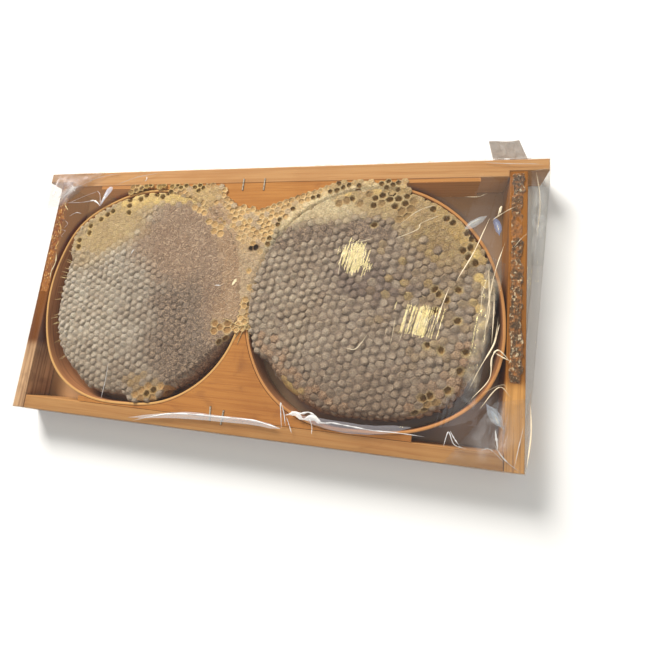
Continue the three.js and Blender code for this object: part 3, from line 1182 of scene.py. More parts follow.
@dataclass
class Relief:
    """Heights and tints of cells' rings: what the caps and mouths of a field look like.

    Attributes:
        patches: Stretches that differ from the rest, each laid over those before it.
        base: The looks of all the rest.
    """

    patches: tuple[Patch, ...]
    base: Patch

    def rings(self, x: Array, y: Array, seed: int) -> tuple[Array, Array, Array, Array]:
        """Works out the rings of each cell.

        Each patch in its turn takes the cells that it covers, wholly or in part. Domes vary by about
        a quarter in height, each cell is a little lighter or darker than the next, and the comb gets
        darker towards the bottom bar.

        Args:
            x: The middles along X, in the frame.
            y: The middles along Y.
            seed: Which random numbers.

        Returns:
            Shares, heights and tints, each with a row for a cell and a column for a ring, and the
            slope of each cell's cap along X and Y.
        """
        rng = np.random.default_rng(SEED + seed)
        luck = rng.random(len(x))
        base = self.base
        shares, heights = (np.tile(row, (len(x), 1)) for row in base.cell.value)
        tints = np.tile(base.tone.rings(), (len(x), 1, 1))
        for patch in self.patches:
            amount = patch.takes(x, y, luck)[:, None]
            shares = shares + amount * (np.array(patch.cell.value[0]) - shares)
            heights = heights + amount * (np.array(patch.cell.value[1]) - heights)
            tints = tints + amount[..., None] * (patch.tone.rings() - tints)
            luck = (luck * 7.31) % 1.0
        lift = 1.0 + 0.24 * rng.normal(size=(len(x), 1))
        heights = np.where(heights > 0.0, heights * lift, heights)
        heights[:, 0] += rng.uniform(-0.2, 0.06, len(x)) * (heights[:, 0] > 0.3)
        shade = 1.0 + 0.055 * rng.normal(size=(len(x), 1)) + 0.1 * noise(x, y, 14.0, 33)[:, None]
        # darker towards the bottom bar
        darkened = 1.0 - 0.36 * smoothstep(-y, 36.0, 96.0)[:, None]
        tints[..., :3] *= (np.clip(shade, 0.72, 1.3) * darkened)[..., None] ** (0.8, 1.0, 1.15)
        slopes = rng.normal(0.0, 0.17, (len(x), 2)) * (heights[:, :1] > 0.3)
        return shares, heights, tints, slopes


def ring_faces(middle: int, numbers: Array, flip: bool) -> list[Array]:
    """Faces of cells from their middles out to their shared borders.

    Args:
        middle: The number of the first cell's middle point; the rings' points follow the middles.
        numbers: Each cell's twelve border points.
        flip: Whether the faces turn the other way.

    Returns:
        The triangles round the middles, and the quads.
    """
    cells = len(numbers)
    own = middle + cells + np.arange(cells * RINGS * SIDES).reshape(cells, RINGS, SIDES)
    levels = np.concatenate([own, numbers[:, None, :]], axis=1)
    after = np.roll(levels, -1, axis=2)
    centre = np.broadcast_to((middle + np.arange(cells))[:, None], (cells, SIDES))
    fans = np.stack([centre, levels[:, 0], after[:, 0]], axis=-1).reshape(-1, 3)
    quads = np.stack([levels[:, :-1], levels[:, 1:], after[:, 1:], after[:, :-1]], axis=-1).reshape(-1, 4)
    return [fans[:, ::-1], quads[:, ::-1]] if flip else [fans, quads]


# ---- combs

# Caps darken at the border, painted shade in the grooves; mouths darken inwards, partly painted shade.
PALE_WAX = Tone(srgb(180, 155, 112), srgb(176, 151, 109), srgb(166, 142, 102), 0.45)
YELLOW_WAX = Tone(srgb(214, 186, 120), srgb(210, 181, 117), srgb(200, 170, 110), 0.35)
CLOUDED_WAX = Tone(srgb(203, 184, 146), srgb(200, 181, 143), srgb(189, 170, 133), 0.4)
DUSTY_DOME = Tone(srgb(184, 171, 153), srgb(178, 165, 147), srgb(152, 138, 121))
DOVE_DOME = Tone(srgb(172, 158, 141), srgb(166, 152, 135), srgb(141, 127, 111))
BROWN_DOME = Tone(srgb(162, 145, 126), srgb(152, 135, 117), srgb(122, 106, 92))
FAIR_DOME = Tone(srgb(172, 155, 135), srgb(161, 144, 124), srgb(128, 112, 96))
DIM_DOME = Tone(srgb(134, 117, 104), srgb(126, 109, 97), srgb(102, 87, 76))
OCHRE_WAX = Tone(srgb(178, 148, 94), srgb(174, 144, 92), srgb(166, 136, 87), 0.4)
TAWNY_CAP = Tone(srgb(166, 138, 112), srgb(160, 132, 107), srgb(140, 114, 92), 0.6)
MAUVE_CAP = Tone(srgb(150, 126, 104), srgb(148, 123, 102), srgb(137, 114, 94), 0.9)
GREY_CAP = Tone(srgb(134, 116, 101), srgb(127, 110, 95), srgb(104, 89, 76), 0.7)
FLAT_CAP = Tone(srgb(160, 139, 112), srgb(153, 132, 106), srgb(128, 109, 87), 0.2)
SALLOW_CAP = Tone(srgb(166, 142, 99), srgb(160, 136, 95), srgb(142, 118, 82), 0.4)
# Lighter than the pale wax round it: painted light on the brace comb's slope away from the daylight.
RIM_WAX_LIGHTENED = Tone(srgb(222, 200, 158), srgb(217, 195, 153), srgb(202, 180, 138), 0.4)
BUFF_WAX = Tone(srgb(194, 165, 116), srgb(190, 161, 113), srgb(178, 149, 104), 0.45)
SALLOW_MOUTH = Tone(srgb(150, 122, 82), srgb(154, 126, 86), srgb(184, 156, 112))
PALE_MOUTH = Tone(srgb(188, 152, 102), srgb(194, 158, 108), srgb(212, 184, 136))
FADED_CAP = Tone(srgb(186, 162, 130), srgb(182, 158, 127), srgb(170, 146, 116), 0.7)
BLUSH_CAP = Tone(srgb(172, 143, 113), srgb(170, 141, 112), srgb(160, 132, 104), 0.9)
AMBER_MOUTH = Tone(srgb(158, 120, 76), srgb(164, 126, 80), srgb(204, 176, 130))
DARK_MOUTH = Tone(srgb(128, 98, 58), srgb(140, 110, 66), srgb(190, 168, 126))
TAN_MOUTH = Tone(srgb(146, 116, 64), srgb(152, 122, 70), srgb(204, 176, 122))
# Near black in the middle: painted shade down the hole in the cleft.
CLEFT_HOLE_SHADE = Tone(srgb(40, 26, 18), srgb(58, 38, 24), srgb(150, 120, 84))
CREST_CAP = Tone(srgb(172, 156, 128), srgb(166, 150, 122), srgb(146, 130, 104), 0.3)


def shared_mean(numbers: Array, values: Array) -> Array:
    """The mean of cells' values at each border point that they share.

    Args:
        numbers: Each cell's twelve border points.
        values: A row of values for each cell.

    Returns:
        A row of means for each border point.
    """
    flat = numbers.ravel()
    times = np.bincount(flat)
    sums = [np.bincount(flat, np.repeat(column, SIDES)) for column in values.T]
    return np.stack(sums, axis=-1) / times[:, None]


def ring_places(middles: Array, border: Array, numbers: Array, shares: Array) -> Array:
    """The plan of cells' own rings.

    A ring's point lies its share of the way from the middle to the border, and the rings inside a
    cell are rounder than its border: most of the way to the border's mean distance. Each point strays
    a little by noise.

    Args:
        middles: The cells' middles.
        border: The border points.
        numbers: Each cell's twelve border points.
        shares: Each cell's shares of the way, from the middle to the border.

    Returns:
        The points of each cell's three rings, twelve to a ring.
    """
    out = border[numbers] - middles[:, None]
    length = np.linalg.norm(out, axis=2, keepdims=True)
    even = np.minimum(length.mean(axis=1, keepdims=True), length)
    rings = []
    for k, roundness in ((1, 0.7), (2, 0.6), (3, 0.35)):
        reach = length + (even - length) * roundness
        rings.append(middles[:, None] + out / length * reach * shares[:, k, None, None])
    plan = np.stack(rings, axis=1).reshape(-1, 2)
    stray = [noise(plan[:, 0], plan[:, 1], 2.0, seed) for seed in (36, 37)]
    return plan + 0.34 * np.stack(stray, -1)


def ring_heights(middles: Array, plan: Array, shares: Array, heights: Array, slopes: Array) -> Array:
    """The heights of cells' own rings: the ring's height, its cap's slope, and a little roughness.

    Args:
        middles: The cells' middles.
        plan: The rings' points, as ring_places gives them.
        shares: Each cell's shares of the way.
        heights: The heights of its rings.
        slopes: The slope of its cap along X and Y, which fades out towards the border.

    Returns:
        A height for each of the rings' points.
    """
    out = plan.reshape(len(middles), RINGS, SIDES, 2) - middles[:, None, None]
    lean = (out * slopes[:, None, None]).sum(axis=3) * (1.0 - shares[:, 1:4, None] ** 3)
    rough = 0.24 * noise(plan[:, 0], plan[:, 1], 1.6, 35).reshape(lean.shape)
    return (heights[:, 1:4, None] + (lean + rough) * (heights[:, :1, None] > 0.3)).ravel()


def face_points(
    middles: Array, border: Array, numbers: Array, rings: tuple[Array, Array, Array, Array]
) -> tuple[Array, Array, Array]:
    """Lays out a face of cells: its border points, then its middles, then its rings.

    Args:
        middles: The cells' middles.
        border: The border points.
        numbers: Each cell's twelve border points.
        rings: The shares, heights, tints and slopes of the cells, as a relief gives them.

    Returns:
        The plan, the height and the tint of each point.
    """
    shares, heights, tints, slopes = rings
    plan = ring_places(middles, border, numbers, shares)
    brim = shared_mean(numbers, heights[:, -1:])[:, 0]
    own = ring_heights(middles, plan, shares, heights, slopes)
    own_tint = np.repeat(tints[:, 1:4, None], SIDES, axis=2).reshape(-1, 4)
    return (
        np.vstack([border, middles, plan]),
        np.concatenate([brim, heights[:, 0], own]),
        np.vstack([shared_mean(numbers, tints[:, -1]), tints[:, 0], own_tint]),
    )


@dataclass
class CombSlab:
    """One comb: a crowned slab with cells on both faces, which run on over its rounded edge.

    Attributes:
        side: left or right.
        line: The plan of its hoop and of the space beside it.
        field: Its cells.
        front: The looks of its front face.
        back: The looks of its back face.
        frame: The frame's sizes.
        half_front: From the midrib to the front face.
        half_back: From the midrib to the back face.
        crown: How much higher the front face is at the middle.
        back_share: How much of the front's crown and roll the back has.
    """

    side: str
    line: HoopLine
    field: CellField
    front: Relief
    back: Relief
    frame: Frame
    half_front: float = 11.95
    half_back: float = 9.9
    crown: float = 0.9
    back_share: float = 0.4

    def edge(self, x: Array, y: Array) -> tuple[Array, Array, Array]:
        """The comb's edge towards places about the hoop's centre.

        Args:
            x: Places along X.
            y: Places along Y.

        Returns:
            The radius where the face ends, the width of the rounded edge, and the way over it, which
            is short where the comb touches the hoop.
        """
        clear = self.line.clear(x, y)
        outer = self.line.outside(x, y) - HOOP_WALL - clear
        width = 0.5 + 0.95 * clear
        quarter = 0.5 * np.pi * np.sqrt(0.5 * (width**2 + self.half_front**2))
        return outer - width, width, 5.0 + (quarter - 5.0) * smoothstep(clear, 0.5, 5.0)

    def limit(self, x: Array, y: Array) -> Array:
        """How far places lie beyond the end of the rounded edge, less than nought inside it."""
        start, _, way = self.edge(x, y)
        return np.hypot(x, y) - start - way

    def lifted(self, plan: Array, height: Array, face: int) -> Array:
        """Carries places of the cells' plan to the slab.

        Inside the face's radius a place stands at the face's height, crowned by the square of its
        share of the way out and rolled by a product of two slow waves. Beyond it, the place goes over
        a quarter ellipse of the edge's width and the face's height. A height lifts it along the
        ellipse's normal.

        Args:
            plan: Places about the hoop's centre.
            height: How far each is lifted.
            face: 1 for the front and -1 for the back.

        Returns:
            Points in the frame.
        """
        x, y = plan[:, 0], plan[:, 1]
        far = np.maximum(np.hypot(x, y), 1e-6)
        start, width, way = self.edge(x, y)
        over = 0.5 * np.pi * np.clip((far - start) / way, 0.0, 1.0)
        radius = np.where(far < start, far, start + width * np.sin(over))
        outer = start + width
        roll = 0.45 * np.sin(x / 23.0 + 0.6) * np.cos(y / 19.0 - 0.4)
        half, bulge = (self.half_front, 1.0) if face > 0 else (self.half_back, self.back_share)
        tall = half + bulge * (self.crown * (1.0 - (radius / outer) ** 2) + roll)
        out, up = np.sin(over) * tall, np.cos(over) * width
        length = np.hypot(out, up)
        out, up = out / length, up / length
        gentle = height * (1.0 - 0.75 * np.sin(over) * (self.line.clear(x, y) < 1.5))
        flat = radius + out * gentle
        cx, cy = self.line.centre
        z = self.frame.midrib + face * (tall * np.cos(over) + up * gentle)
        return np.column_stack([cx + flat * x / far, cy + flat * y / far, z])

    def surface(self) -> Surface:
        """Joins both faces' cells along the edge of the comb.

        The border points of the outermost cells are moved out to the end of the rounded edge, at the
        height of the midrib, where the two faces share them.

        Returns:
            The closed comb.
        """
        middles, border, numbers = self.field.lay(
            125.0, lambda x, y: self.limit(x, y) < -0.3 * self.field.pitch
        )
        rim = np.zeros(len(border), bool)
        rim[outer_edges(numbers).ravel()] = True
        far = np.hypot(border[:, 0], border[:, 1])
        beyond = self.limit(border[:, 0], border[:, 1])
        border = np.where((rim | (beyond > 0))[:, None], border * ((far - beyond) / far)[:, None], border)
        cx, cy = self.line.centre
        points, tints, faces = [], [], []
        for face, relief in ((1, self.front), (-1, self.back)):
            rings = relief.rings(middles[:, 0] + cx, middles[:, 1] + cy, 70 + face)
            plan, height, tint = face_points(middles, border, numbers, rings)
            first = sum(len(part) for part in points)
            kept = ~rim if face < 0 else np.full(len(border), True)
            shared = np.where(kept, first + np.cumsum(kept) - 1, np.arange(len(border)))[numbers]
            own = np.concatenate([kept, np.full(len(plan) - len(border), True)])
            points.append(self.lifted(plan, height, face)[own])
            tints.append(tint[own])
            faces += ring_faces(first + int(kept.sum()), shared, face < 0)
        return Surface(np.vstack(points), faces, np.vstack(tints))

    def make(self, finish: Material) -> None:
        """Builds the comb and puts it in its node's place.

        Args:
            finish: Its material.
        """
        node = f"comb_{self.side}"
        piece = self.surface().build(f"cells_{self.side}", finish)
        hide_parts(node)
        dress(piece)


@dataclass
class BraceComb:
    """The comb over the hoops' rims: thin cells that lap a little over both combs.

    Attributes:
        frame: The frame's sizes.
        field: Its cells.
        looks: Their looks.
        edge: Its edge against the top filler board, left to right.
        ends: Its left and right ends along X.
        foot: How far down the cleft it reaches.
        rim_shows: Stretches of X where the hoop's rim stays bare.
        rise: Its face above the bars' faces.
        drop: How far its face comes down where it laps the combs.
        lap: How far it laps over the left comb.
        right_lap: How far it laps over the right comb.
        hole: Where one wide open cell is pushed into it, and how far its sides are pushed out.
    """

    frame: Frame
    field: CellField
    looks: Relief
    edge: tuple[Point, ...]
    ends: Point = (-137.0, 128.0)
    foot: float = -33.0
    rim_shows: tuple[Point, ...] = ((-137.0, -92.0),)
    rise: float = 1.3
    drop: float = 1.8
    lap: float = 8.0
    right_lap: float = 5.5
    hole: Point3 = (2.0, 39.0, 0.8)

    def reach(self, x: Array) -> Array:
        """How far it laps over the combs: the full lap on the left, and less of it over the right comb."""
        return self.lap - (self.lap - self.right_lap) * smoothstep(x, 14.0, 34.0)

    def inside(self, x: Array, y: Array) -> Array:
        """Which places it covers.

        Args:
            x: Places along X.
            y: Places along Y.

        Returns:
            Yes or no for each place.
        """
        xs, ys = np.array(self.edge).T
        bare = np.zeros(np.shape(x), bool)
        for start, end in self.rim_shows:
            bare |= (x > start) & (x < end)
        least = np.where(bare, HOOP_WALL + 0.8, -self.reach(x) * (0.75 + 0.5 * noise(x, y, 9.0, 63)))
        under = y < np.minimum(np.interp(x, xs, ys), self.frame.top_inner - 0.5)
        between = (x > self.ends[0]) & (x < self.ends[1])
        return (beyond_hoops(x, y) > least) & under & between & (y > self.foot)

    def sunk(self, x: Array, y: Array) -> Array:
        """How far it has come down to the combs' faces: 0 over the rims, 1 where its lap ends."""
        return smoothstep(-beyond_hoops(x, y), -1.4, 0.5 * self.reach(x))

    def level(self, x: Array, y: Array) -> Array:
        """The height of its face: level over the rims, and down to the combs' faces inside them."""
        return self.frame.front + self.rise - self.drop * self.sunk(x, y) + 0.18 * noise(x, y, 11.0, 61)

    def floor(self, x: Array, y: Array) -> Array:
        """The height of its underside: just over the wood, and a little way into the combs."""
        return self.frame.front + 0.1 - 0.9 * self.sunk(x, y)

    def surface(self) -> Surface:
        """Lays the cells, then a wall down from their outer sides and a flat underside.

        Returns:
            The closed sheet of cells.
        """
        middles, border, numbers = self.field.lay(150.0, self.inside)
        *spot, push = self.hole
        nearest = middles[np.argmin(np.linalg.norm(middles - spot, axis=1))]
        off = border - nearest
        far = np.linalg.norm(off, axis=1, keepdims=True)
        border = border + off / far * push * (1.0 - smoothstep(far, 3.0, 8.0))
        border[:, 1] = np.minimum(border[:, 1], self.frame.top_inner + 0.1)
        shares, heights, looks, slopes = self.looks.rings(middles[:, 0], middles[:, 1], 90)
        heights = np.maximum(heights, 0.25 - self.rise)
        plan, height, tint = face_points(middles, border, numbers, (shares, heights, looks, slopes))
        z = np.maximum(self.level(*plan.T) + height, self.floor(*plan.T) + 0.1)
        top = np.column_stack([plan, z])
        under = np.column_stack([border, self.floor(*border.T)])
        edges = outer_edges(numbers)
        wall = np.stack([edges[:, 1], edges[:, 0], edges[:, 0] + len(top), edges[:, 1] + len(top)], axis=-1)
        faces = ring_faces(len(border), numbers, False) + [wall, numbers[:, ::-1] + len(top)]
        return Surface(np.vstack([top, under]), faces, np.vstack([tint, tint[: len(border)]]))

    def make(self, finish: Material) -> None:
        """Builds the cells in the node's place."""
        sheet = self.surface().build("bridge_cells", finish, crease=52.0)
        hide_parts("comb_bridge")
        dress(sheet)


@dataclass
class WaxThreads:
    """Threads and spikes of wax where bees hung the comb: to the left hoop, and in the cleft.

    Attributes:
        frame: The frame's sizes.
        spikes: How many spikes stand between the left comb's edge and its hoop.
        sector: The directions from the left hoop's centre between which they stand.
    """

    frame: Frame
    spikes: int = 30
    sector: Point = (148.0, 222.0)

    def strand(self, path: Array, thick: float, thin: float) -> Surface:
        """A strand that tapers along its path.

        Args:
            path: A few of its points.
            thick: Its radius where it starts.
            thin: Its radius where it ends.

        Returns:
            The strand.
        """
        line = curve_through(path, 4)
        made = tube(line, np.linspace(thick, thin, len(line)), 5)
        made.tint = np.tile([*THREAD_WAX, 0.0], (len(made.points), 1))
        return made

    def surface(self) -> Surface:
        """Joins the spikes and the cleft's threads.

        Returns:
            The closed strands.
        """
        rng = np.random.default_rng(SEED + 8)
        cx, cy = LEFT_HOOP.centre
        made = None
        for degrees in np.sort(rng.uniform(*self.sector, self.spikes)):
            turn = math.radians(degrees)
            x, y = math.cos(turn), math.sin(turn)
            clear = float(LEFT_HOOP.clear(x, y))
            start = float(LEFT_HOOP.outside(x, y)) - HOOP_WALL - clear
            reach = clear * rng.uniform(0.35, 0.95)
            z = self.frame.front - rng.uniform(1.5, 6.0)
            sway = rng.uniform(-0.8, 0.8, 2)
            r = np.array([start - 1.6, start + 0.5 * reach, start + reach])
            path = np.column_stack([cx + r * x, cy + r * y, [z, z + sway[0], z + sway[1]]])
            path[1, :2] += sway
            spike = self.strand(path, 0.34, 0.07)
            made = spike if made is None else made.joined(spike)
        top = self.frame.front + 1.2
        threads = (
            ((-8.0, -26.5, top), (-2.0, -28.4, top + 0.2), (5.4, -26.8, top), 0.38, 0.3),
            ((3.6, -27.6, top), (0.0, -33.0, top - 0.6), (-3.2, -44.0, top - 1.1), 0.5, 0.16),
            ((-1.0, -28.0, top), (-3.4, -34.0, top - 0.7), (-7.5, -42.0, top - 1.3), 0.4, 0.14),
            ((4.6, -27.0, top), (5.8, -33.0, top - 0.8), (6.6, -40.0, top - 1.3), 0.36, 0.14),
            ((-19.0, -23.0, top - 0.4), (-13.0, -24.4, top + 0.1), (-8.0, -26.5, top), 0.3, 0.36),
        )
        for *path, thick, thin in threads:
            made = made.joined(self.strand(np.array(path), thick, thin))
        return made

    def make(self, finish: Material) -> None:
        """Builds the threads as one piece."""
        dress(self.surface().build("wax_threads", finish))


THREAD_WAX = srgb(206, 182, 132)

# ---- crust


@dataclass
class ResinCrust:
    """Dark resin on an end bar's face: a rough skin that rises out of the wood in islands.

    Attributes:
        name: The piece's name.
        across: Where it starts and ends along X.
        along: Where it starts and ends along Y.
        frame: The frame's sizes.
        cover: Places along Y and how much of the strip it covers there, 0 to 1.
        thickness: Its greatest height over the wood.
        seed: Which random numbers.
        spacing: The distance between its points along X and along Y.
        sunk: How deep its bare places lie in the wood.
    """

    name: str
    across: Point
    along: Point
    frame: Frame
    cover: tuple[Point, ...]
    thickness: float
    seed: int
    spacing: Point = (0.34, 0.5)
    sunk: float = 0.12

    def surface(self) -> Surface:
        """A closed sheet over a fine grid.

        Its height is the wood's face, less a little, plus crumpled noise where a broader noise is
        over a level set by the cover. It falls away towards the strip's sides and ends, and is thinner
        where it covers less.

        Returns:
            The sheet, its free value the share of its greatest height.
        """
        (left, right), (low, high) = self.across, self.along
        columns, rows = int((right - left) / self.spacing[0]), int((high - low) / self.spacing[1])
        x, y = np.meshgrid(np.linspace(left, right, columns), np.linspace(low, high, rows))
        across, along = (x - left) / (right - left), (y - low) / (high - low)
        wander = 0.1 * noise(y, y * 0.0, 9.0, self.seed) + 0.12 * noise(x, y, 3.0, self.seed + 7)
        side = 1.0 - smoothstep(np.abs(across - 0.46 - wander), 0.32, 0.5)
        end = smoothstep(along, 0.0, 0.04) * smoothstep(1.0 - along, 0.0, 0.02)
        cover = np.interp(y, *np.array(self.cover).T)
        broad = 0.76 + 0.4 * noise(x, y, 7.5, self.seed + 1) + 0.24 * noise(x, y, 2.4, self.seed + 2)
        bare, full = 0.62 - 0.6 * cover, 0.95 - 0.6 * cover
        island = smoothstep(broad * side * end, bare, full) * (0.3 + 0.7 * cover)
        rough = 0.3 + 0.75 * crumple(x, y, 1.9, self.seed + 3) + 0.25 * noise(x, y, 0.8, self.seed + 5)
        share = np.clip(island * rough, 0.0, 1.0)
        z = self.frame.front - self.sunk + (self.thickness + self.sunk) * share
        return closed_sheet(np.dstack([x, y, z]), 0.3, tinted(WHITE, share))

    def make(self, finish: Material) -> None:
        """Builds the crust as one piece."""
        dress(self.surface().build(self.name, finish))


# ---- film


@dataclass(frozen=True)
class Fold:
    """A sharp fold that stands up from the film, with painted glare along it.

    Attributes:
        points: Its line: x, y and the fold's width at each point.
        height: Its height over the film.
        haze: How white it is, 0 to 1: painted glare, with some whitening of the crease.
        tone: The colour of its haze, which is the colour of the glare.
    """

    points: tuple[Point3, ...]
    height: float
    haze: float
    tone: Colour = WHITE


@dataclass(frozen=True)
class Crumple:
    """A crumpled layer of the film.

    Attributes:
        name: The piece's name.
        corners: Its corners anticlockwise, from the lower left.
        size: The width of its crumples.
        height: Their height.
        haze: How white its ridges are: painted glare, with some whitening of the crumples.
        tone: The colour of its haze.
    """

    name: str
    corners: tuple[Point, Point, Point, Point]
    size: float
    height: float
    haze: float
    tone: Colour = WHITE


@dataclass
class FilmWrap:
    """Clear film drawn round the frame, with folds, crumpled corners and a loose flap.

    Attributes:
        frame: The frame's sizes.
        folds: Its sharp folds.
        layers: Its crumpled layers.
        spacing: The distance between the points of its upper side.
        slack: Its distance from the bars' sides.
        rise: How far the combs lift it over the bars.
        climb: The shares of its half width and half height over which it climbs from its edge.
        table: The height of its underside.
        wall: How far down its side each ring of points lies, as shares.
        under: How far in under the frame each further ring lies, as shares.
    """

    frame: Frame
    folds: tuple[Fold, ...]
    layers: tuple[Crumple, ...]
    spacing: float = 1.5
    slack: float = 0.75
    rise: float = 2.35
    climb: Point = (0.068, 0.085)
    table: float = 0.35
    wall: tuple[float, ...] = (0.12, 0.3, 0.5, 0.7, 0.88, 1.0)
    under: tuple[float, ...] = (0.01, 0.06, 0.3, 0.65, 0.9)

    def half_width(self, y: Array) -> Array:
        """Half its width at a height on the frame: straight from a lug's end to the end bar's foot."""
        f = self.frame
        down = np.maximum(0.0, (f.lug_bottom - y) / (f.lug_bottom + f.half_height))
        return f.lug_end - (f.lug_end - f.half_width) * down + self.slack

    def level(self, x: Array, y: Array) -> Array:
        """The height of its upper side.

        It lies just over the bars, climbs smoothly to the combs, sags a little in the open corners of
        the frame, and rolls in two sizes of long waves that run from the corners.

        Args:
            x: Places along X.
            y: Places along Y.

        Returns:
            The height of each place.
        """
        u = np.abs(x) / self.half_width(y)
        v = np.abs(y) / (self.frame.half_height + self.slack)
        lift = smoothstep(1.0 - u, 0.0, self.climb[0]) * smoothstep(1.0 - v, 0.0, self.climb[1])
        sag = 0.9 * smoothstep(beyond_hoops(x, y), 3.0, 30.0) * (np.abs(x) > 130.0) * lift
        waves = 0.3 * noise(x * 0.8 + y * 0.25, y * 0.35 - x * 0.1, 17.0, 41)
        ripples = 0.12 * noise(x - 0.25 * y, 0.1 * y, 6.0, 43)
        loose = (0.35 + 0.65 * lift) * (0.35 + 0.5 * (sag > 0.1))
        return self.frame.front + 0.5 + self.rise * lift - sag + loose * (waves + ripples)

    def looks_at(self, x: Array, y: Array) -> Array:
        """Its tone and haze: a little white by the crumpled upper left corner and, as painted glare, by the
        lower right one, and brown over the upper openings.

        Args:
            x: Places along X.
            y: Places along Y.

        Returns:
            Red, green, blue and haze for each place.
        """
        f = self.frame
        inner = smoothstep(f.top_inner - y, 0.0, 3.0) * smoothstep(x - f.left_inner, 0.0, 3.0)
        opening = smoothstep(beyond_hoops(x, y), 1.0, 5.0) * inner * smoothstep(f.right_inner - x, 0.0, 3.0)
        brown = 0.2 * opening * (x < -120.0) * smoothstep(y, -70.0, 20.0)
        brown = brown + 0.1 * opening * (x > 120.0) * smoothstep(y, 0.0, 50.0)
        tone = 1.0 + smoothstep(brown, 0.0, 0.06)[:, None] * (np.array(OPENING_BROWN) - 1.0)
        corner = 1.0 - smoothstep(np.hypot((x + 205.0) / 1.5, y - 104.0), 8.0, 34.0)
        # painted glare by the lower right corner
        foot = 1.0 - smoothstep(np.hypot((x - 200.0) / 1.2, y + 92.0), 8.0, 40.0)
        cloud = 0.5 + 0.5 * noise(x, y, 13.0, 47)
        return np.column_stack([tone, 0.08 * corner * cloud + 0.05 * foot * cloud + brown])

    def wrap(self) -> Surface:
        """The upper side, the sides down to the table, and the underside.

        The upper side is a grid. Its border is repeated down the sides, pleated outwards and inwards
        by noise along it, and then drawn in under the frame in ever smaller copies to one point.

        Returns:
            The closed film.
        """
        top = self.frame.half_height + self.slack
        columns, rows = int(2 * self.frame.lug_end / self.spacing), int(2 * top / self.spacing)
        u, y = np.meshgrid(np.linspace(-1, 1, columns), np.linspace(-top, top, rows))
        x = u * self.half_width(y)
        grid = np.dstack([x, y, self.level(x, y)]).reshape(-1, 3)
        last = border_of(rows, columns)
        edge = grid[last]
        at_side = np.abs(edge[:, 0]) > self.half_width(edge[:, 1]) - 0.01
        at_end = np.abs(edge[:, 1]) > top - 0.01
        outward = np.sign(edge[:, :2]) * np.column_stack([at_side, at_end])
        along = np.arange(len(edge)) * self.spacing
        parts, looks = [grid], [self.looks_at(grid[:, 0], grid[:, 1])]
        faces = [grid_faces(rows, columns)]
        count = len(grid)
        for down, inset in [(down, 0.0) for down in self.wall] + [(1.0, inset) for inset in self.under]:
            pleat = 0.28 * np.sin(np.pi * down) * noise(along, along * 0.0 + down * 9.0, 4.5, 51)
            ring = edge.copy()
            ring[:, :2] += outward * pleat[:, None]
            ring[:, :2] *= 1.0 - inset
            ring[:, 2] += (self.table - edge[:, 2]) * down
            here = count + np.arange(len(edge))
            faces.append(np.stack([np.roll(last, -1), last, here, np.roll(here, -1)], axis=-1))
            parts.append(ring)
            looks.append(np.tile([*WHITE, 0.06 * (inset == 0.0)], (len(edge), 1)))
            last = here
            count += len(edge)
        parts.append([[0.0, 0.0, self.table]])
        looks.append([[*WHITE, 0.0]])
        faces.append(np.stack([np.full(len(edge), count), np.roll(last, -1), last], axis=-1))
        return Surface(np.vstack(parts), faces, np.vstack(looks))

    def ribbon(self, fold: Fold, row: int) -> Surface:
        """A fold: a low ridge along its line, pointed at its ends.

        Its section has four corners: two on the film, half its width to each side, a crest between
        them and one just under the film. Noise along the line breaks the width and the height, most
        of all in a white fold, and leans the crest to one side.

        Args:
            fold: Its line and looks.
            row: Which row of the noise breaks it.

        Returns:
            The closed ridge.
        """
        line = curve_through(np.array(fold.points), 8)
        x, y, width = line.T
        steps, rows = np.arange(len(line)) * 1.0, np.full(len(line), row * 1.0)
        rough = 0.38 if fold.haze > 0.35 else 0.08
        broken = 1.0 - rough + rough * noise(steps, rows, 1.7, 55)
        ends = np.minimum(1.0, np.minimum(steps, steps[::-1]) / 3.0)
        half = 0.5 * width * broken * (0.15 + 0.85 * ends)
        crest = (0.2 + 0.35 * noise(steps, rows, 3.0, 57)) * half
        level = np.zeros_like(half)
        across = np.column_stack([half, crest, -half, level])
        up = np.column_stack([level + 0.04, 0.1 + fold.height * broken * ends, level + 0.04, level - 0.05])
        ahead = np.gradient(line[:, :2], axis=0)
        ahead /= np.maximum(np.linalg.norm(ahead, axis=1, keepdims=True), 1e-6)
        side = np.column_stack([-ahead[:, 1], ahead[:, 0]])
        z = self.level(x, y)[:, None]
        rings = np.dstack([line[:, None, :2] + side[:, None] * across[..., None], z + up])
        made = spindle(rings, np.column_stack([line[:, :2], z + 0.03])[[0, -1]])
        made.tint = np.tile([*fold.tone, fold.haze], (len(made.points), 1))
        return made

    def crumpled(self, layer: Crumple, seed: int) -> Surface:
        """A crumpled layer over the film between four corners.

        Args:
            layer: Its corners and looks.
            seed: Which random numbers.

        Returns:
            The closed layer, sunk to the film at its sides.
        """
        a, b, c, d = (np.array(corner) for corner in layer.corners)
        u, v = np.meshgrid(np.linspace(0, 1, 90), np.linspace(0, 1, 70))
        low, high = a + (b - a) * u[..., None], d + (c - d) * u[..., None]
        plan = (1 - v)[..., None] * low + v[..., None] * high
        x, y = plan[..., 0], plan[..., 1]
        fold = crumple(x, y, layer.size, seed)
        side = np.minimum(np.minimum(u, 1 - u), np.minimum(v, 1 - v))
        ease = smoothstep(side + 0.08 * noise(x, y, 9.0, seed + 6), 0.0, 0.3)
        z = self.level(x, y) + 0.22 + layer.height * fold * ease
        haze = layer.haze * (0.3 + 0.7 * smoothstep(fold, 0.5, 0.95)) * ease
        return closed_sheet(np.dstack([x, y, z]), 0.08, tinted(layer.tone, haze))

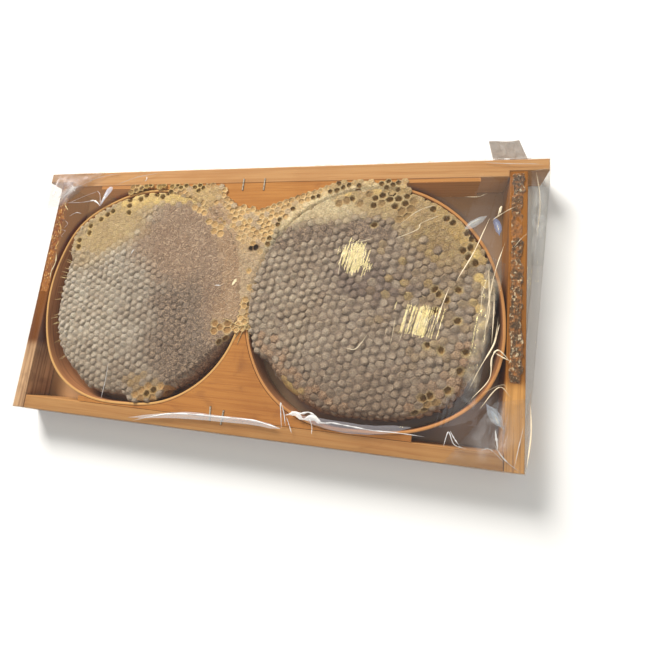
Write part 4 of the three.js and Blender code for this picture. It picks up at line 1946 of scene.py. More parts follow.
    def flap(self) -> Surface:
        """The loose flap: from its root at the top bar out to its tip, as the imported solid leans.

        Returns:
            The closed flap.
        """
        u, v = np.meshgrid(np.linspace(0, 1, 34), np.linspace(0, 1, 30))
        root, tip = (left + (right - left) * u for left, right in FLAP_ENDS)
        x = root * (1 - v) + tip * v
        y = self.frame.half_height + 0.4 + FLAP_REACH * v + 0.35 * np.sin(7 * u)
        wave = 0.55 * (crumple(u * 30, v * 30, 9.0, 67) - 0.5) + 0.35 * np.sin(5.0 * u + 2.0 * v)
        haze = 0.5 + 0.3 * crumple(u * 30, v * 30, 6.0, 69)
        points = np.dstack([x, y, FLAP_ROOT + FLAP_RISE * v + wave])
        return closed_sheet(points, 0.25, tinted(FLAP_GREY, haze))

    def lapped(self) -> Surface:
        """The film's ends, lapped under the frame as one slightly ridged layer.

        It is brown under the left side and grey under the right, both darker than the floor: partly its
        own layers and partly painted shade under the frame. It shows in the openings and round the combs,
        where several layers lie over each other, and hardly under the wood.

        Returns:
            The closed layer.
        """
        f = self.frame
        wide, tall = f.half_width - 2.0, f.half_height - 2.0
        x, y = np.meshgrid(np.linspace(-wide, wide, 150), np.linspace(-tall, tall, 84))
        z = self.table + 0.07 + 0.14 * crumple(x * 0.4, y, 14.0, 71)
        warm = 1.0 - 0.75 * smoothstep(x - 0.9 * y, -120.0, 160.0)
        grey, brown = np.array(LAP_GREY_SHADE), np.array(LAP_BROWN)
        beyond = beyond_hoops(x, y)
        across = np.minimum(x - f.left_inner, f.right_inner - x)
        inside = smoothstep(np.minimum(across, np.minimum(y - f.bottom_inner, f.top_inner - y)), -3.0, 0.0)
        boards = smoothstep(beyond, 0.0, 3.0) * (1.0 - smoothstep(np.abs(x), 118.0, 130.0))
        layers = 0.1 + 0.7 * smoothstep(beyond, -17.0, -10.0) * inside * (1.0 - boards)
        tint = tinted(grey + warm[..., None] * (brown - grey), layers + 0.1 * noise(x, y, 30.0, 73))
        return closed_sheet(np.dstack([x, y, z]), 0.1, tint)

    def make(self, clear: Material, creased: Material, lapped: Material) -> None:
        """Builds the wrap, its folds, its crumpled corners, its flap and its lapped underside.

        Args:
            clear: The smooth film.
            creased: The film where it is folded.
            lapped: The film where it lies in several layers.
        """
        wrap = self.wrap().build("film_wrap", clear)
        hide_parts("film_top", "film_bottom")
        dress(wrap)
        ribs = self.ribbon(self.folds[0], 0)
        for number, fold in enumerate(self.folds[1:], 1):
            ribs = ribs.joined(self.ribbon(fold, number))
        dress(ribs.build("film_folds", creased, smooth=False))
        for number, layer in enumerate(self.layers):
            dress(self.crumpled(layer, 81 + 3 * number).build(layer.name, creased))
        dress(self.flap().build("film_flap", creased))
        dress(self.lapped().build("film_lap", lapped))


OPENING_BROWN = srgb(206, 158, 110)
# The lapped film's colours, darker than the floor partly as painted shade.
LAP_GREY_SHADE, LAP_BROWN = srgb(140, 122, 106), srgb(212, 166, 118)
FLAP_GREY = srgb(176, 164, 152)
FLAP_ENDS = ((194.0, 221.0), (187.5, 210.0))  # the flap's ends along X, at its root and at its tip
FLAP_REACH = 18.6  # from its root to its tip
FLAP_ROOT, FLAP_RISE = 13.6, 7.2  # its height at the root, and how far it rises to its tip

CRUMPLES = (
    Crumple("film_crumple_left", ((-230, 78), (-208, 80), (-168, 116.4), (-230.5, 116.4)), 8.0, 1.2, 0.3,
            PINK_HAZE_AND_GLARE),
    Crumple("film_crumple_foot", ((163, -115.5), (216, -115.5), (218, -66), (196, -70)), 15.0, 0.5, 0.07),
    Crumple("film_crumple_lug", ((217.5, 30), (226.5, 30), (231, 108), (217.5, 104)), 8.0, 0.8, 0.1),
    # a veil of painted glare along the right hoop, over a few crumples
    Crumple("film_crumple_glare_hoop", ((172, -70), (182, -78), (201, 30), (188, 36)), 5.0, 0.5, 0.16, WARM_GLARE),
)

# The folds' white, cream, blue, pink and gold hazes are painted glare and glints of lamps and windows.
RIGHT_COMB_FOLDS = (  # over the right comb, round the lamps' reflections
    Fold(((120, 49, 0.8), (136, 56.5, 1.3), (139, 62, 1.0), (154, 69, 0.7)), 0.45, 0.85, WARM_GLARE),
    Fold(((119.5, 58, 0.5), (135.5, 72, 1.0), (150, 77.5, 0.8)), 0.4, 0.8, WARM_GLARE),
    Fold(((77, 42, 0.5), (96, 47, 1.0), (102, 49, 0.6)), 0.4, 0.7, WARM_GLARE),
    Fold(((77.5, 34, 0.6), (77, 25, 0.7), (76.5, 17, 0.9)), 0.35, 0.7, WARM_GLARE),
    Fold(((85, 43, 0.4), (84, 33, 0.9), (82.5, 24, 0.5)), 0.3, 0.45, WARM_GLARE),
    Fold(((91, 45, 0.4), (90, 34, 1.0), (88.5, 25, 0.5)), 0.3, 0.45, WARM_GLARE),
    Fold(((96.5, 45, 0.5), (96, 36, 1.1), (94.5, 28, 0.5)), 0.3, 0.5, WARM_GLARE),
    Fold(((138, -6, 0.4), (136, -16, 0.9), (133.5, -27, 0.5)), 0.3, 0.45, WARM_GLARE),
    Fold(((143.5, -5, 0.4), (141.5, -16, 0.9), (139, -28, 0.5)), 0.3, 0.5, WARM_GLARE),
    Fold(((148.5, -3, 0.4), (147.5, -12, 0.9), (145, -22, 0.5)), 0.3, 0.45, WARM_GLARE),
    Fold(((56, -95, 4), (84, -99, 8), (112, -99, 7), (140, -94, 4)), 0.2, 0.16, (0.56, 0.54, 0.6)),
    Fold(((86, -40, 0.7), (94.5, -41, 1.1), (99, -36.5, 1.0), (103.5, -29, 0.7)), 0.4, 0.85, WARM_GLARE),
    Fold(((133, -3, 0.5), (131, -20, 0.9), (128, -32, 0.7)), 0.35, 0.7, WARM_GLARE),
    Fold(((124, -12, 0.3), (123, -24, 0.6), (121.5, -35, 0.7)), 0.3, 0.6, WARM_GLARE),
    Fold(((118.5, -20, 0.3), (117, -29, 0.6)), 0.3, 0.55, WARM_GLARE),
)
RIGHT_HOOP_FOLDS = (  # along the right hoop
    Fold(((189, 66.5, 0.8), (178, 38, 1.2), (167, 16.5, 0.9)), 0.45, 0.75, WARM_GLARE),
    Fold(((162, 11, 0.6), (157.5, -3, 1.1), (153, -18, 0.8)), 0.45, 0.8, WARM_GLARE),
    Fold(((200, 47, 0.7), (193, 21, 1.1), (189, -8, 1.2), (187.5, -30.5, 0.8)), 0.5, 0.7, WARM_GLARE),
    Fold(((191, 30, 0.5), (187, 14, 0.8), (184, 2, 0.5)), 0.4, 0.6, WARM_GLARE),
    Fold(((197.5, -15, 0.8), (194, -30, 1.4), (185.5, -47, 1.2), (178, -64, 0.8)), 0.5, 0.8, WARM_GLARE),
    Fold(((204, -40, 0.9), (197, -34, 1.5), (193, -40, 1.4), (191.5, -55, 1.2),
          (180, -70, 0.9)), 0.5, 0.8, WARM_GLARE),
    Fold(((206, -66, 0.6), (198, -60, 1.0), (186, -76, 0.8)), 0.4, 0.6, WARM_GLARE),
    Fold(((194.5, 68, 1.4), (197, 76, 1.8), (196, 70, 1.4)), 0.5, 0.8, WARM_GLARE),
    Fold(((190, 64, 0.8), (199, 71, 1.0), (207, 76, 0.8)), 0.45, 0.75, WARM_GLARE),
    Fold(((192, 67, 1.5), (194.5, 60, 6.0), (196, 52, 2.0)), 0.2, 0.3, BLUE_GLARE),
    Fold(((193, 64, 1.0), (195, 59, 3.0), (196, 53, 1.0)), 0.4, 0.35, (0.5, 0.56, 0.74)),
    Fold(((194, 61, 0.4), (195, 58, 1.2), (195.5, 55, 0.4)), 0.5, 0.7, WARM_GLARE),
    Fold(((189, 29, 0.6), (190, 8, 1.2), (190.5, -6, 1.5), (188, -21, 0.9)), 0.5, 0.8, WARM_GLARE),
    Fold(((193, 14, 0.5), (193.5, -4, 1.2), (192.5, -30, 0.8)), 0.45, 0.75, WARM_GLARE),
    Fold(((196.5, -10, 0.4), (195.5, -22, 0.9), (193.7, -30, 0.5)), 0.35, 0.7, WARM_GLARE),
    Fold(((184.5, 20, 0.4), (185, 4, 0.8), (184, -12, 0.5)), 0.35, 0.6, WARM_GLARE),
    Fold(((205, -41, 0.8), (200, -38.8, 1.4), (195, -36, 0.9)), 0.4, 0.75, WARM_GLARE),
    Fold(((170, 84, 0.5), (180, 84, 0.8), (187, 87, 0.5)), 0.3, 0.6, WARM_GLARE),
    Fold(((171, 57, 2.5), (178, 62, 6.0), (187, 68, 2.5)), 0.2, 0.16, (0.8, 0.86, 0.9)),
    Fold(((173, 59, 1.2), (178, 62.5, 3.2), (184, 66, 1.0)), 0.4, 0.3, (0.84, 0.86, 0.84)),
    Fold(((175, 61, 0.5), (179, 63, 1.2), (182.5, 65, 0.4)), 0.5, 0.5, WARM_GLARE),
)
# the gold hazes here are painted glints on the bar
LEFT_BAR_FOLDS = (  # on the left end bar
    Fold(((-202.5, 32, 0.8), (-200.5, 22, 1.8), (-203, 12, 1.6),
          (-202.5, 5, 0.8)), 0.4, 0.7, (1.0, 0.88, 0.55)),
    Fold(((-202.5, 43, 0.8), (-204, 39, 1.8), (-205.5, 36, 0.8)), 0.35, 0.6, (1.0, 0.76, 0.28)),
    Fold(((-206, 61, 0.6), (-203.5, 55, 1.6), (-203, 49, 0.7)), 0.35, 0.5, (1.0, 0.72, 0.28)),
    Fold(((-208, 84, 0.6), (-204, 79, 1.4), (-200, 75, 0.7)), 0.35, 0.55, (1.0, 0.8, 0.4)),
    Fold(((-201.7, 65, 0.4), (-197, 61, 0.8), (-200, 56.5, 0.4)), 0.3, 0.6, PINK_HAZE_AND_GLARE),
    Fold(((-203.5, 55, 0.4), (-197.8, 53.5, 0.8), (-200.8, 48.5, 0.6),
          (-198, 47.5, 0.3)), 0.3, 0.55, PINK_HAZE_AND_GLARE),
    Fold(((-216, 88, 3.0), (-207, 95, 8.0), (-195, 101, 5.0)), 0.2, 0.2, PINK_HAZE_AND_GLARE),
    Fold(((-206, 96.5, 1.0), (-201, 99, 3.4), (-196, 99.5, 1.0)), 0.5, 0.8),
    Fold(((-203.5, 103, 0.8), (-201, 99, 2.8), (-203, 94, 0.8)), 0.55, 0.8),
    Fold(((-206, 101.5, 0.6), (-201, 98.5, 1.8), (-197, 95.5, 0.6)), 0.6, 0.75),
)
LOWER_BAR_FOLDS = (  # along the bottom bar
    Fold(((-88, -114.5, 0.8), (-56, -106, 1.5), (-33, -103.5, 1.9), (-8, -103, 1.6), (20, -102.5, 1.5),
          (43, -106, 1.3)), 0.55, 0.9),
    Fold(((44, -105.5, 1.0), (42, -94, 1.2), (41, -86.5, 1.0), (44.5, -94, 1.0),
          (47, -104, 0.9)), 0.5, 0.85),
    Fold(((47, -97, 1.0), (50, -103, 1.0), (52.5, -108.5, 0.8)), 0.45, 0.8),
    Fold(((64, -94, 1.2), (67.5, -101, 1.2), (68, -107, 0.8)), 0.45, 0.8),
    Fold(((-92, -112.5, 1.5), (-56, -107, 4.5), (-33, -104.6, 6), (-8, -104.2, 5), (20, -103.8, 4.5),
          (43, -106, 3)), 0.3, 0.2, (0.86, 0.92, 1.0)),
    Fold(((46, -95.5, 2.0), (54, -93.5, 4.2), (60, -97, 3.6), (68, -95, 4.6), (74, -98, 3.0),
          (82, -97.5, 1.6)), 0.5, 0.6),
    Fold(((50, -92, 0.8), (58, -93, 1.6), (64, -91.5, 1.8), (70, -93.5, 0.8)), 0.4, 0.8),
    Fold(((80, -97, 1.8), (97, -98.2, 1.6), (113, -99.2, 1.2), (130, -98.8, 0.7),
          (150, -99.2, 0.5)), 0.45, 0.8),
)
LEFT_CORNER_FOLDS = (  # in the upper left corner
    Fold(((-202, 83, 0.5), (-186, 89.5, 0.9), (-170, 95, 1.1)), 0.4, 0.85, PINK_HAZE_AND_GLARE),
    Fold(((-170.6, 95.4, 0.7), (-166.5, 91, 1.1), (-163, 79.5, 1.2)), 0.4, 0.85, PINK_HAZE_AND_GLARE),
    Fold(((-207, 83.5, 0.5), (-188, 83.5, 0.8), (-171.5, 85, 1.2)), 0.4, 0.75, PINK_HAZE_AND_GLARE),
    Fold(((-178, 84.4, 0.8), (-172, 85, 2.2), (-167, 82.5, 1.6), (-163, 79, 0.8)), 0.5, 0.9),
    Fold(((-163, 79, 0.8), (-160.6, 87, 3.6), (-157, 95, 6.0),
          (-154, 99, 5.0)), 0.4, 0.34, (0.86, 0.88, 1.0)),
    Fold(((-163, 79.4, 0.8), (-161, 86, 2.4), (-158.4, 94, 3.0)), 0.6, 0.85),
    Fold(((-197, 69, 0.5), (-190, 72.5, 0.9), (-183, 71.5, 0.6)), 0.35, 0.65),
    Fold(((-198.5, 98.5, 0.6), (-181, 107, 0.9), (-162, 112.6, 0.9), (-149, 113.6, 0.6)), 0.4, 0.6, PINK_HAZE_AND_GLARE),
    Fold(((-150, 101.5, 0.5), (-128, 108.5, 0.8), (-104, 113.5, 0.5)), 0.35, 0.4),
    Fold(((-212, 86, 1.0), (-203, 97, 2.2), (-197, 101, 1.2)), 0.5, 0.7),
)
STRAY_FOLDS = (  # single ones
    Fold(((-120.5, -68, 0.5), (-120, -84, 0.8), (-121, -101, 0.6)), 0.35, 0.8),
    Fold(((-118.5, 31, 0.8), (-117.5, 34, 1.4), (-116, 36, 0.7)), 0.3, 0.8),
    Fold(((-30, 5, 0.6), (-27, 5.2, 1.3), (-24, 5, 0.6)), 0.3, 0.8),
    Fold(((-14, 5.5, 1.6), (-12, 9, 4.2), (-10.5, 12, 1.6)), 0.3, 0.75, (1.0, 0.9, 0.6)),
    Fold(((-118.5, 104, 0.8), (-117, 106, 1.6), (-117.5, 109, 0.8)), 0.35, 0.85),
    Fold(((184, 113.5, 0.5), (205, 111.5, 1.0), (226, 110.5, 0.6)), 0.35, 0.6),
    Fold(((206, 43, 0.4), (211, 50, 0.7), (216, 55, 0.4)), 0.3, 0.5, WARM_GLARE),
)
RIGHT_CORNER_FOLDS = (  # in the lower right corner and over the right end bar
    Fold(((163, -104, 0.7), (166, -94, 1.0), (170, -102, 1.0), (178, -104, 0.7)), 0.45, 0.7),
    Fold(((166.9, -93, 0.7), (170, -98, 1.0), (174, -103, 0.6)), 0.45, 0.75),
    Fold(((190, -72, 2.0), (196, -80, 8.0), (202, -88, 2.0)), 0.2, 0.2, (0.66, 0.74, 0.86)),
    Fold(((193, -76, 1.0), (196.5, -81, 4.0), (200, -87, 1.0)), 0.4, 0.34, (0.8, 0.88, 1.0)),
    Fold(((195, -78.5, 0.5), (197, -82, 1.6), (199, -86, 0.5)), 0.5, 0.7, WARM_GLARE),
    Fold(((196.5, -89, 0.8), (197.5, -95, 2.4), (198.5, -102, 0.8)), 0.45, 0.75),
    Fold(((187.5, -103.7, 0.5), (193.7, -102.5, 0.9), (203, -110, 0.6)), 0.4, 0.6),
    Fold(((196, -99, 0.7), (203, -108, 1.1), (213, -115, 0.7)), 0.45, 0.65),
    Fold(((209, -114, 0.5), (212, -98, 0.9), (215, -84, 0.5)), 0.4, 0.5),
    Fold(((186, -66, 0.3), (200, -58, 0.5), (204, -62, 0.3)), 0.3, 0.45, WARM_GLARE),
    Fold(((221, 104, 0.7), (224, 80, 1.0), (222, 52, 0.8)), 0.4, 0.35, WARM_GLARE),
    Fold(((219, -70, 0.8), (219.5, -90, 1.4), (217, -112, 0.8)), 0.4, 0.6, WARM_GLARE),
)
FOLDS = (
    *RIGHT_COMB_FOLDS,
    *RIGHT_HOOP_FOLDS,
    *LEFT_BAR_FOLDS,
    *LOWER_BAR_FOLDS,
    *LEFT_CORNER_FOLDS,
    *STRAY_FOLDS,
    *RIGHT_CORNER_FOLDS,
)


# ---- studio


@dataclass(frozen=True)
class Lamp:
    """A flat light, its lengths in metres.

    Attributes:
        name: Its name.
        at: Where it hangs.
        towards: The place that it faces.
        size: Its two sides.
        watts: Its power.
        colour: Its colour.
        shows: Whether glossy surfaces mirror it.
    """

    name: str
    at: Point3
    towards: Point3
    size: Point
    watts: float
    colour: Colour
    shows: bool = True

    def hang(self) -> None:
        """Hangs it in the scene."""
        data = bpy.data.lights.new(self.name, "AREA")
        data.shape = "RECTANGLE"
        data.size, data.size_y = self.size
        data.energy = self.watts
        data.color = self.colour
        lamp = bpy.data.objects.new(self.name, data)
        facing = (Vector(self.towards) - Vector(self.at)).to_track_quat("-Z", "Y")
        lamp.matrix_world = Matrix.Translation(self.at) @ facing.to_matrix().to_4x4()
        lamp.visible_glossy = self.shows
        bpy.context.scene.collection.objects.link(lamp)


@dataclass
class Studio:
    """The floor, the camera and the lights.

    Attributes:
        frame: The frame's sizes.
        lens: The camera's lens on a 36 mm sensor.
        eye: Where the camera stands over the frame's front face.
        right: The direction that the camera has on its right.
        down: The direction that it has below.
        reach: How far the floor goes each way.
        flat: How far out the floor stays level.
        sky: The even light from all round: its colour and its strength.
    """

    frame: Frame
    lens: float = 21.54
    eye: Point3 = (138.13, -74.4, 296.19)
    right: Point3 = (0.97290755, 0.09863037, -0.20910033)
    down: Point3 = (0.05988016, -0.98107256, -0.18414938)
    reach: float = 2600.0
    flat: float = 900.0
    sky: tuple[Colour, float] = ((0.95, 0.97, 1.0), 0.36)

    def floor(self) -> None:
        """Lays a wide shallow dish of a floor, level under the part and rising far away."""
        span = np.linspace(-self.reach, self.reach, 53)
        x, y = np.meshgrid(span, span)
        rise = 0.00006 * np.maximum(np.hypot(x, y) - self.flat, 0.0) ** 2
        sheet = closed_sheet(np.dstack([x, y, rise - 0.3]), 20.0)
        finish = TableTop("floor", srgb(240, 240, 239)).material()
        sheet.build("floor", finish)

    def camera(self) -> None:
        """Stands the camera where the comb is seen from the right and the lower side."""
        right, down = Vector(self.right), Vector(self.down)
        turn = Matrix((right, -down, right.cross(-down))).transposed().to_4x4()
        data = bpy.data.cameras.new("camera")
        data.lens = self.lens
        data.sensor_width = 36.0
        data.clip_start = 0.01
        camera = bpy.data.objects.new("camera", data)
        x, y, z = self.eye
        camera.matrix_world = Matrix.Translation(Vector((x, y, z + self.frame.front)) * MM) @ turn
        bpy.context.scene.collection.objects.link(camera)
        bpy.context.scene.camera = camera

    def seen_at(self, x: float, y: float, away: float) -> tuple[Point3, Point3]:
        """Where a lamp hangs for the camera to see it in the film, and the place that it faces.

        Args:
            x: The spot on the film along X.
            y: The spot along Y.
            away: How far from it the lamp hangs, in metres.

        Returns:
            Both places, in metres.
        """
        eye_x, eye_y, height = self.eye
        towards = Vector((x - eye_x, y - eye_y, height)).normalized()
        start = Vector((x * MM, y * MM, self.frame.front * MM))
        return tuple(start + towards * away), (x * MM, y * MM, 0.02)

    def light(self) -> None:
        """Soft daylight from behind the top bar, a fill, two cool windows and two warm ceiling lamps."""
        colour, strength = self.sky
        world = bpy.data.worlds.new("world")
        world.use_nodes = True
        world.node_tree.nodes["Background"].inputs[0].default_value = (*colour, 1.0)
        world.node_tree.nodes["Background"].inputs[1].default_value = strength
        bpy.context.scene.world = world
        middle = (0.0, 0.0, 0.0)
        cool, warm = (0.88, 0.94, 1.0), (1.0, 0.84, 0.36)
        pane, bulb = (0.14, 0.22), (0.075, 0.09)
        lamps = (
            Lamp("daylight", (-1.1, 1.8, 1.3), middle, (1.1, 0.9), 120.0, (1.0, 0.97, 0.93), False),
            Lamp("fill", (1.1, -1.2, 1.5), middle, (1.4, 1.4), 12.0, (1.0, 0.95, 0.88), False),
            Lamp("window_upper", *self.seen_at(190.0, 74.0, 1.2), pane, 0.04, cool),
            Lamp("window_lower", *self.seen_at(186.0, -86.0, 1.2), pane, 0.08, cool),
            Lamp("lamp_left", *self.seen_at(90.0, 33.0, 1.0), bulb, 0.27, warm),
            Lamp("lamp_right", *self.seen_at(142.0, -15.0, 1.0), bulb, 0.27, warm),
        )
        for lamp in lamps:
            lamp.hang()

    def make(self) -> None:
        """Sets up the floor, the camera and the lights, and plain colour handling."""
        self.floor()
        self.camera()
        self.light()
        bpy.context.scene.view_settings.view_transform = "Standard"


# ---- the whole

BRACE_EDGE = (
    (-40, 101), (-36, 97), (-30, 88), (-22, 80), (-8, 76), (2, 75.5), (12, 79), (28, 85.5), (45, 91.5),
    (60, 98.5), (66, 101),
)

LEFT_PATCHES = (
    Patch(Cell.DOMED, DOVE_DOME, (-104, -22), (26, 60), 6),
    Patch(Cell.LOW, GREY_CAP, (-50, -22), (40, 74), 10),
    Patch(Cell.WET, GREY_CAP, (-30, -34), (22, 52), 24),
    Patch(Cell.WET, MAUVE_CAP, (-64, 50), (52, 40), -8),
    Patch(Cell.WET, MAUVE_CAP, (-26, 2), (16, 50), 8),
    Patch(Cell.WET, BLUSH_CAP, line=((-44, 82), (-36, 71), (-24, 52), (-16, 30), (-12, 4), (-16, -16)),
          size=(13, 13)),
    Patch(Cell.OPEN, PALE_MOUTH, (-44, 72), (16, 28), 20, share=0.3),
    Patch(Cell.SMOOTH, PALE_WAX, (-150, 58), (48, 24), 32),
    Patch(Cell.SMOOTH, YELLOW_WAX, line=((-136, 84), (-100, 91), (-60, 92), (-40, 86)), size=(8, 8)),
    Patch(Cell.SMOOTH, PALE_WAX, (-40, 88), (18, 12), -30),
    Patch(Cell.SMOOTH, PALE_WAX, (-88, -82), (16, 6), 5, share=0.6),
    Patch(Cell.OPEN, PALE_MOUTH, (-72, -91), (22, 8), 6, share=0.9),
    Patch(Cell.DEEP, TAN_MOUTH, spots=((-78, -91), (-71, -88), (-70, -94), (-63, -91))),
    Patch(Cell.DEEP, TAN_MOUTH, spots=((-134, 86), (-133.5, 79.5), (-123, 88.5), (-116.5, 90), (-106, 91.5),
          (-99, 92), (-92.5, 92), (-83, 92), (-74, 91.5), (-153.5, 74.5), (-148, 78), (-162.5, 67.5))),
    Patch(Cell.DEEP, TAN_MOUTH, spots=((-171, 57.5), (-174, 52.5), (-179, 44), (-182, 37), (-60, 92),
          (-131, 71))),
    Patch(Cell.OPEN, AMBER_MOUTH, (-18, -30), (11, 10), share=0.8),
    Patch(Cell.DEEP, DARK_MOUTH, spots=((-15, -38.5), (-22, -41.5))),
)

RIGHT_PATCHES = (
    Patch(Cell.DOMED, FAIR_DOME, (36, 4), (38, 58)),
    Patch(Cell.DOMED, DIM_DOME, (106, 12), (34, 18), -12),
    Patch(Cell.LOW, GREY_CAP, (40, 52), (26, 14), 20, share=0.5),
    Patch(Cell.LOW, GREY_CAP, (86, 56), (34, 9), -6, share=0.7),
    Patch(Cell.FLAT_CAP, FLAT_CAP, (160, 0), (34, 62), share=0.6),
    Patch(Cell.LOW, BROWN_DOME, (90, -30), (90, 70), share=0.3),
    Patch(Cell.FLAT_CAP, SALLOW_CAP, (150, 16), (40, 50), share=0.1),
    Patch(Cell.FLAT_CAP, TAWNY_CAP, line=((24, -40), (36, -62), (56, -78), (84, -88)), size=(10, 10),
          share=0.7),
    Patch(Cell.WET, TAWNY_CAP, line=((26, -50), (40, -68), (58, -82)), size=(8, 8), share=0.6),
    Patch(Cell.FLAT_CAP, TAWNY_CAP, line=((182, -36), (170, -62), (146, -82)), size=(11, 11), share=0.6),
    Patch(Cell.SMOOTH, SALLOW_CAP, (146, 62), (38, 18), -44, share=0.92),
    Patch(Cell.SMOOTH, OCHRE_WAX, line=((116, 92), (138, 84), (158, 69), (172, 53), (182, 36)), size=(7, 7)),
    Patch(Cell.SMOOTH, CLOUDED_WAX, (58, 82), (56, 17), 10),
    Patch(Cell.SMOOTH, PALE_WAX, (112, 84), (42, 17), -14),
    Patch(Cell.SMOOTH, YELLOW_WAX, (84, 92), (36, 6), share=0.6),
    Patch(Cell.SMOOTH, YELLOW_WAX, (46, -74), (10, 8), share=0.5),
    Patch(Cell.SMOOTH, YELLOW_WAX, line=((176, 46), (186, 20), (186, -20)), size=(4, 4), share=0.35),
    Patch(Cell.OPEN, SALLOW_MOUTH, (110, 80), (24, 15), -24, share=0.72),
    Patch(Cell.OPEN, SALLOW_MOUTH, (80, 82), (12, 4), share=0.4),
    Patch(Cell.DEEP, DARK_MOUTH, spots=((66, 82.5), (83, 83), (103, 62.5))),
    Patch(Cell.DEEP, DARK_MOUTH, spots=((103, 90), (99, 85), (102, 79), (109, 89), (111, 83), (115, 88),
          (120, 86), (123, 81), (117, 78), (128, 84))),
    Patch(Cell.DEEP, DARK_MOUTH, spots=((149.5, 76), (157, 70), (161, 66), (173, 54), (176, 49), (172.5, 42),
          (180, 41), (177.5, 32), (184.5, 30), (148.5, 9.5), (155, 6), (166, 7), (163.5, 0), (152, -7))),
    Patch(Cell.OPEN, SALLOW_MOUTH, line=((184, -30), (172, -60), (150, -82)), size=(6, 6), share=0.3),
    Patch(Cell.DEEP, DARK_MOUTH, spots=((168, -16), (148.5, -32), (159.5, -33), (174.5, -39), (181, -37),
          (179.5, -45.5), (173.5, -54), (166.5, -63), (154.5, -67.5), (148.5, -71), (146, -79), (141, -82))),
)

BRIDGE_PATCHES = (
    Patch(Cell.SMOOTH, FADED_CAP, (-30, 70), (50, 34), -30, share=0.2),
    Patch(Cell.WET, BLUSH_CAP, line=((-42, 76), (-36, 66), (-28, 54), (-20, 36), (-18, 4)), size=(9, 9),
          share=0.8),
    Patch(Cell.SMOOTH, BUFF_WAX, (-54, 91), (18, 11), -24, share=0.6),
    Patch(Cell.WET, FADED_CAP, line=((34, 76), (20, 62), (12, 44), (10, 10)), size=(4, 4), share=0.25),
    Patch(Cell.WET, FADED_CAP, (-4, 16), (20, 30), share=0.9),
    Patch(Cell.LOW, CREST_CAP, line=((15, 36), (19, 48), (25, 57)), size=(6.5, 6.5)),
    Patch(Cell.SMOOTH, BUFF_WAX, (98, 95), (42, 14)),
    # pale wax along the lap over the right comb, lightened as painted light on its shaded slope
    Patch(Cell.SMOOTH, RIM_WAX_LIGHTENED, line=((29, 62), (37, 70), (50, 79), (62, 85), (80, 90), (100, 93)),
          size=(6, 6)),
    Patch(Cell.OPEN, TAN_MOUTH, (-112, 99), (28, 8)),
    Patch(Cell.DEEP, TAN_MOUTH, spots=((-127, 96.5), (-119, 98), (-114, 98), (-89, 96), (-82, 97.5),
          (-77, 97), (-73, 99.5), (-67.5, 99.5), (-61.5, 99.5), (-59, 95.5), (-54.5, 99.5))),
    Patch(Cell.DEEP, DARK_MOUTH, spots=((45.7, 85.7), (51, 87.8), (59.6, 91), (65, 92.3), (70.1, 94),
          (75.2, 95.3), (80, 96.2), (85.4, 96.4), (69.7, 100.3), (30, 75.3), (22, 64.6), (17, 63),
          (12.4, 51.4), (11, 45.7))),
    Patch(Cell.DEEP, DARK_MOUTH, spots=((105.5, 95.3), (112.4, 93.8), (118.7, 92), (116, 97.8),
          (121.5, 97.2), (109.8, 98.2), (104.3, 99))),
    # the hole in the cleft, its near-black middle painted shade
    Patch(Cell.DEEP, CLEFT_HOLE_SHADE, (2, 39), (3.2, 3.2)),
    Patch(Cell.OPEN, PALE_MOUTH, (-4, -16), (7, 12), share=0.8),
    Patch(Cell.DEEP, DARK_MOUTH, (1, -18), (2.8, 8), share=0.6),
)


LEFT_BACK = (
    Patch(Cell.SMOOTH, YELLOW_WAX, (-110, 78), (66, 18)),
    Patch(Cell.WET, MAUVE_CAP, (-70, 30), (44, 40), 20, share=0.9),
    Patch(Cell.OPEN, AMBER_MOUTH, line=((-176, 40), (-150, 76)), size=(6, 6), share=0.6),
)

RIGHT_BACK = (
    Patch(Cell.SMOOTH, YELLOW_WAX, (96, 76), (60, 18)),
    Patch(Cell.FLAT_CAP, FLAT_CAP, (140, -10), (46, 60), share=0.5),
    Patch(Cell.DEEP, DARK_MOUTH, line=((176, 30), (160, -60)), size=(6, 6), share=0.5),
)

HOOPS = (
    ("left", LEFT_HOOP, srgb(204, 158, 96)),  # each hoop with the colour of its rim
    ("right", RIGHT_HOOP, srgb(190, 134, 78)),
)
HOOP_INSIDE, HOOP_LINES = srgb(190, 132, 88), srgb(150, 98, 64)

RIGHT_COVER = (
    (-58, 0.9), (-15, 1.0), (0, 0.85), (20, 0.8), (27, 0.45), (34, 0.4), (38, 0.8), (48, 0.8),
    (52, 0.3), (60, 0.2), (68, 0.5), (86, 0.6), (92, 0.9), (105, 0.95),
)
LEFT_COVER = ((-10, 0.1), (20, 0.5), (45, 0.7), (92, 0.9), (104, 0.6))


def combs(frame: Frame) -> list[CombSlab]:
    """The two combs; their backs are capped all over, with open cells only near the edge.

    Args:
        frame: The frame's sizes.

    Returns:
        The left comb and the right one.
    """
    dusty, brown = Patch(Cell.DOMED, DUSTY_DOME), Patch(Cell.DOMED, BROWN_DOME)
    left, right = CellField(6.6, 35.0, 0.055, 11), CellField(6.75, 18.0, 0.1, 17)
    return [
        CombSlab("left", LEFT_HOOP, left, Relief(LEFT_PATCHES, dusty), Relief(LEFT_BACK, dusty), frame),
        CombSlab("right", RIGHT_HOOP, right, Relief(RIGHT_PATCHES, brown), Relief(RIGHT_BACK, brown), frame),
    ]


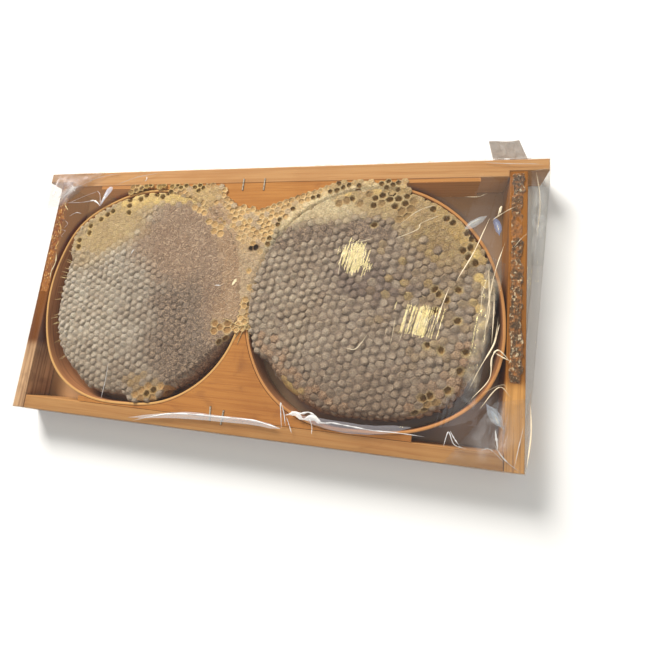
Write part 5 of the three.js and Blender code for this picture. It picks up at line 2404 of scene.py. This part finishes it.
def dress_timber(nodes: dict[str, Piece]) -> None:
    """Gives the bars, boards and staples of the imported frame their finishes.

    Args:
        nodes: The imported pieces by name.
    """
    stain = srgb(112, 66, 40)
    finishes = {
        "top_bar": Timber("pine_top", srgb(188, 143, 95), srgb(164, 113, 67), stain, Along.X, 0.12, 0.1),
        "bottom_bar": Timber("pine_bottom", srgb(180, 134, 83), srgb(150, 98, 54), stain, Along.X, 0.5, 0.3),
        "end_bar_left": Timber(
            "end_wood_left", srgb(124, 72, 20), srgb(92, 48, 14), srgb(70, 34, 10), Along.Y, 0.85, 0.9,
            foot=srgb(222, 181, 138),
        ),
        "end_bar_right": Timber(
            "end_wood_right", srgb(152, 98, 38), srgb(122, 72, 26), srgb(84, 46, 18), Along.Y, 0.5, 0.3,
            foot=srgb(214, 158, 88),
        ),
        "filler_top": Timber(
            "board_top", srgb(184, 128, 69), srgb(152, 94, 44), srgb(112, 60, 40), Along.X, 0.6, 0.3
        ),
        "filler_bottom": Timber(
            "board_bottom", srgb(180, 122, 63), srgb(148, 90, 44), srgb(96, 54, 44), Along.X, 0.7, 0.5
        ),
    }
    wire = Wire("staple_wire", srgb(206, 196, 178), srgb(120, 104, 86)).material()
    for node, piece in nodes.items():
        if node in finishes or node.startswith("staple"):
            finish = finishes[node].material() if node in finishes else wire
            piece.data.materials.clear()
            piece.data.materials.append(finish)
            LOG.info("%s: dressed", node)


def main() -> None:
    """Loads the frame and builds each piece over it."""
    logging.basicConfig(level=logging.INFO, format="%(name)s %(message)s")
    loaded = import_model()
    frame = Frame.measured()
    Studio(frame).make()
    dress_timber(loaded["nodes"])
    for side, line, rim in HOOPS:
        BentHoop(side, line).make(BentWood(f"hoop_wood_{side}", HOOP_INSIDE, rim, HOOP_LINES).material())
    wax = Wax("comb_wax", srgb(198, 170, 142), srgb(104, 84, 66)).material()
    for comb in combs(frame):
        comb.make(wax)
    bridge_looks = Relief(BRIDGE_PATCHES, Patch(Cell.OPEN, PALE_MOUTH))
    BraceComb(frame, CellField(5.3, 20.0, 0.085, 23), bridge_looks, BRACE_EDGE).make(wax)
    WaxThreads(frame).make(wax)
    # The third colour of each resin is its painted glints.
    resin = Crust("resin", srgb(84, 62, 40), srgb(158, 104, 54), srgb(210, 192, 158)).material()
    gold = Crust("resin_gold", srgb(120, 64, 26), srgb(176, 112, 40), srgb(236, 206, 130)).material()
    right = (frame.right_inner + 1.2, frame.half_width - 2.0)
    left = (2.0 - frame.half_width, frame.left_inner - 0.4)
    ResinCrust("crust_right", right, (-58.0, 105.0), frame, RIGHT_COVER, 1.5, 101).make(resin)
    ResinCrust("crust_left", left, (-10.0, 104.0), frame, LEFT_COVER, 1.1, 131).make(gold)
    clear = ClearFilm("film_clear", (0.9, 0.9, 0.92))
    creased = ClearFilm("film_creased", (0.95, 0.94, 0.93), gloss=0.12, ripple=0.15)
    # Its layers let less light through: partly the film, partly painted shade under the frame.
    lapped = ClearFilm("film_lapped", WHITE, passes=(0.86, 0.84, 0.82), gloss=0.2)
    FilmWrap(frame, FOLDS, CRUMPLES).make(clear.material(), creased.material(), lapped.material())


if __name__ == "__main__":
    main()
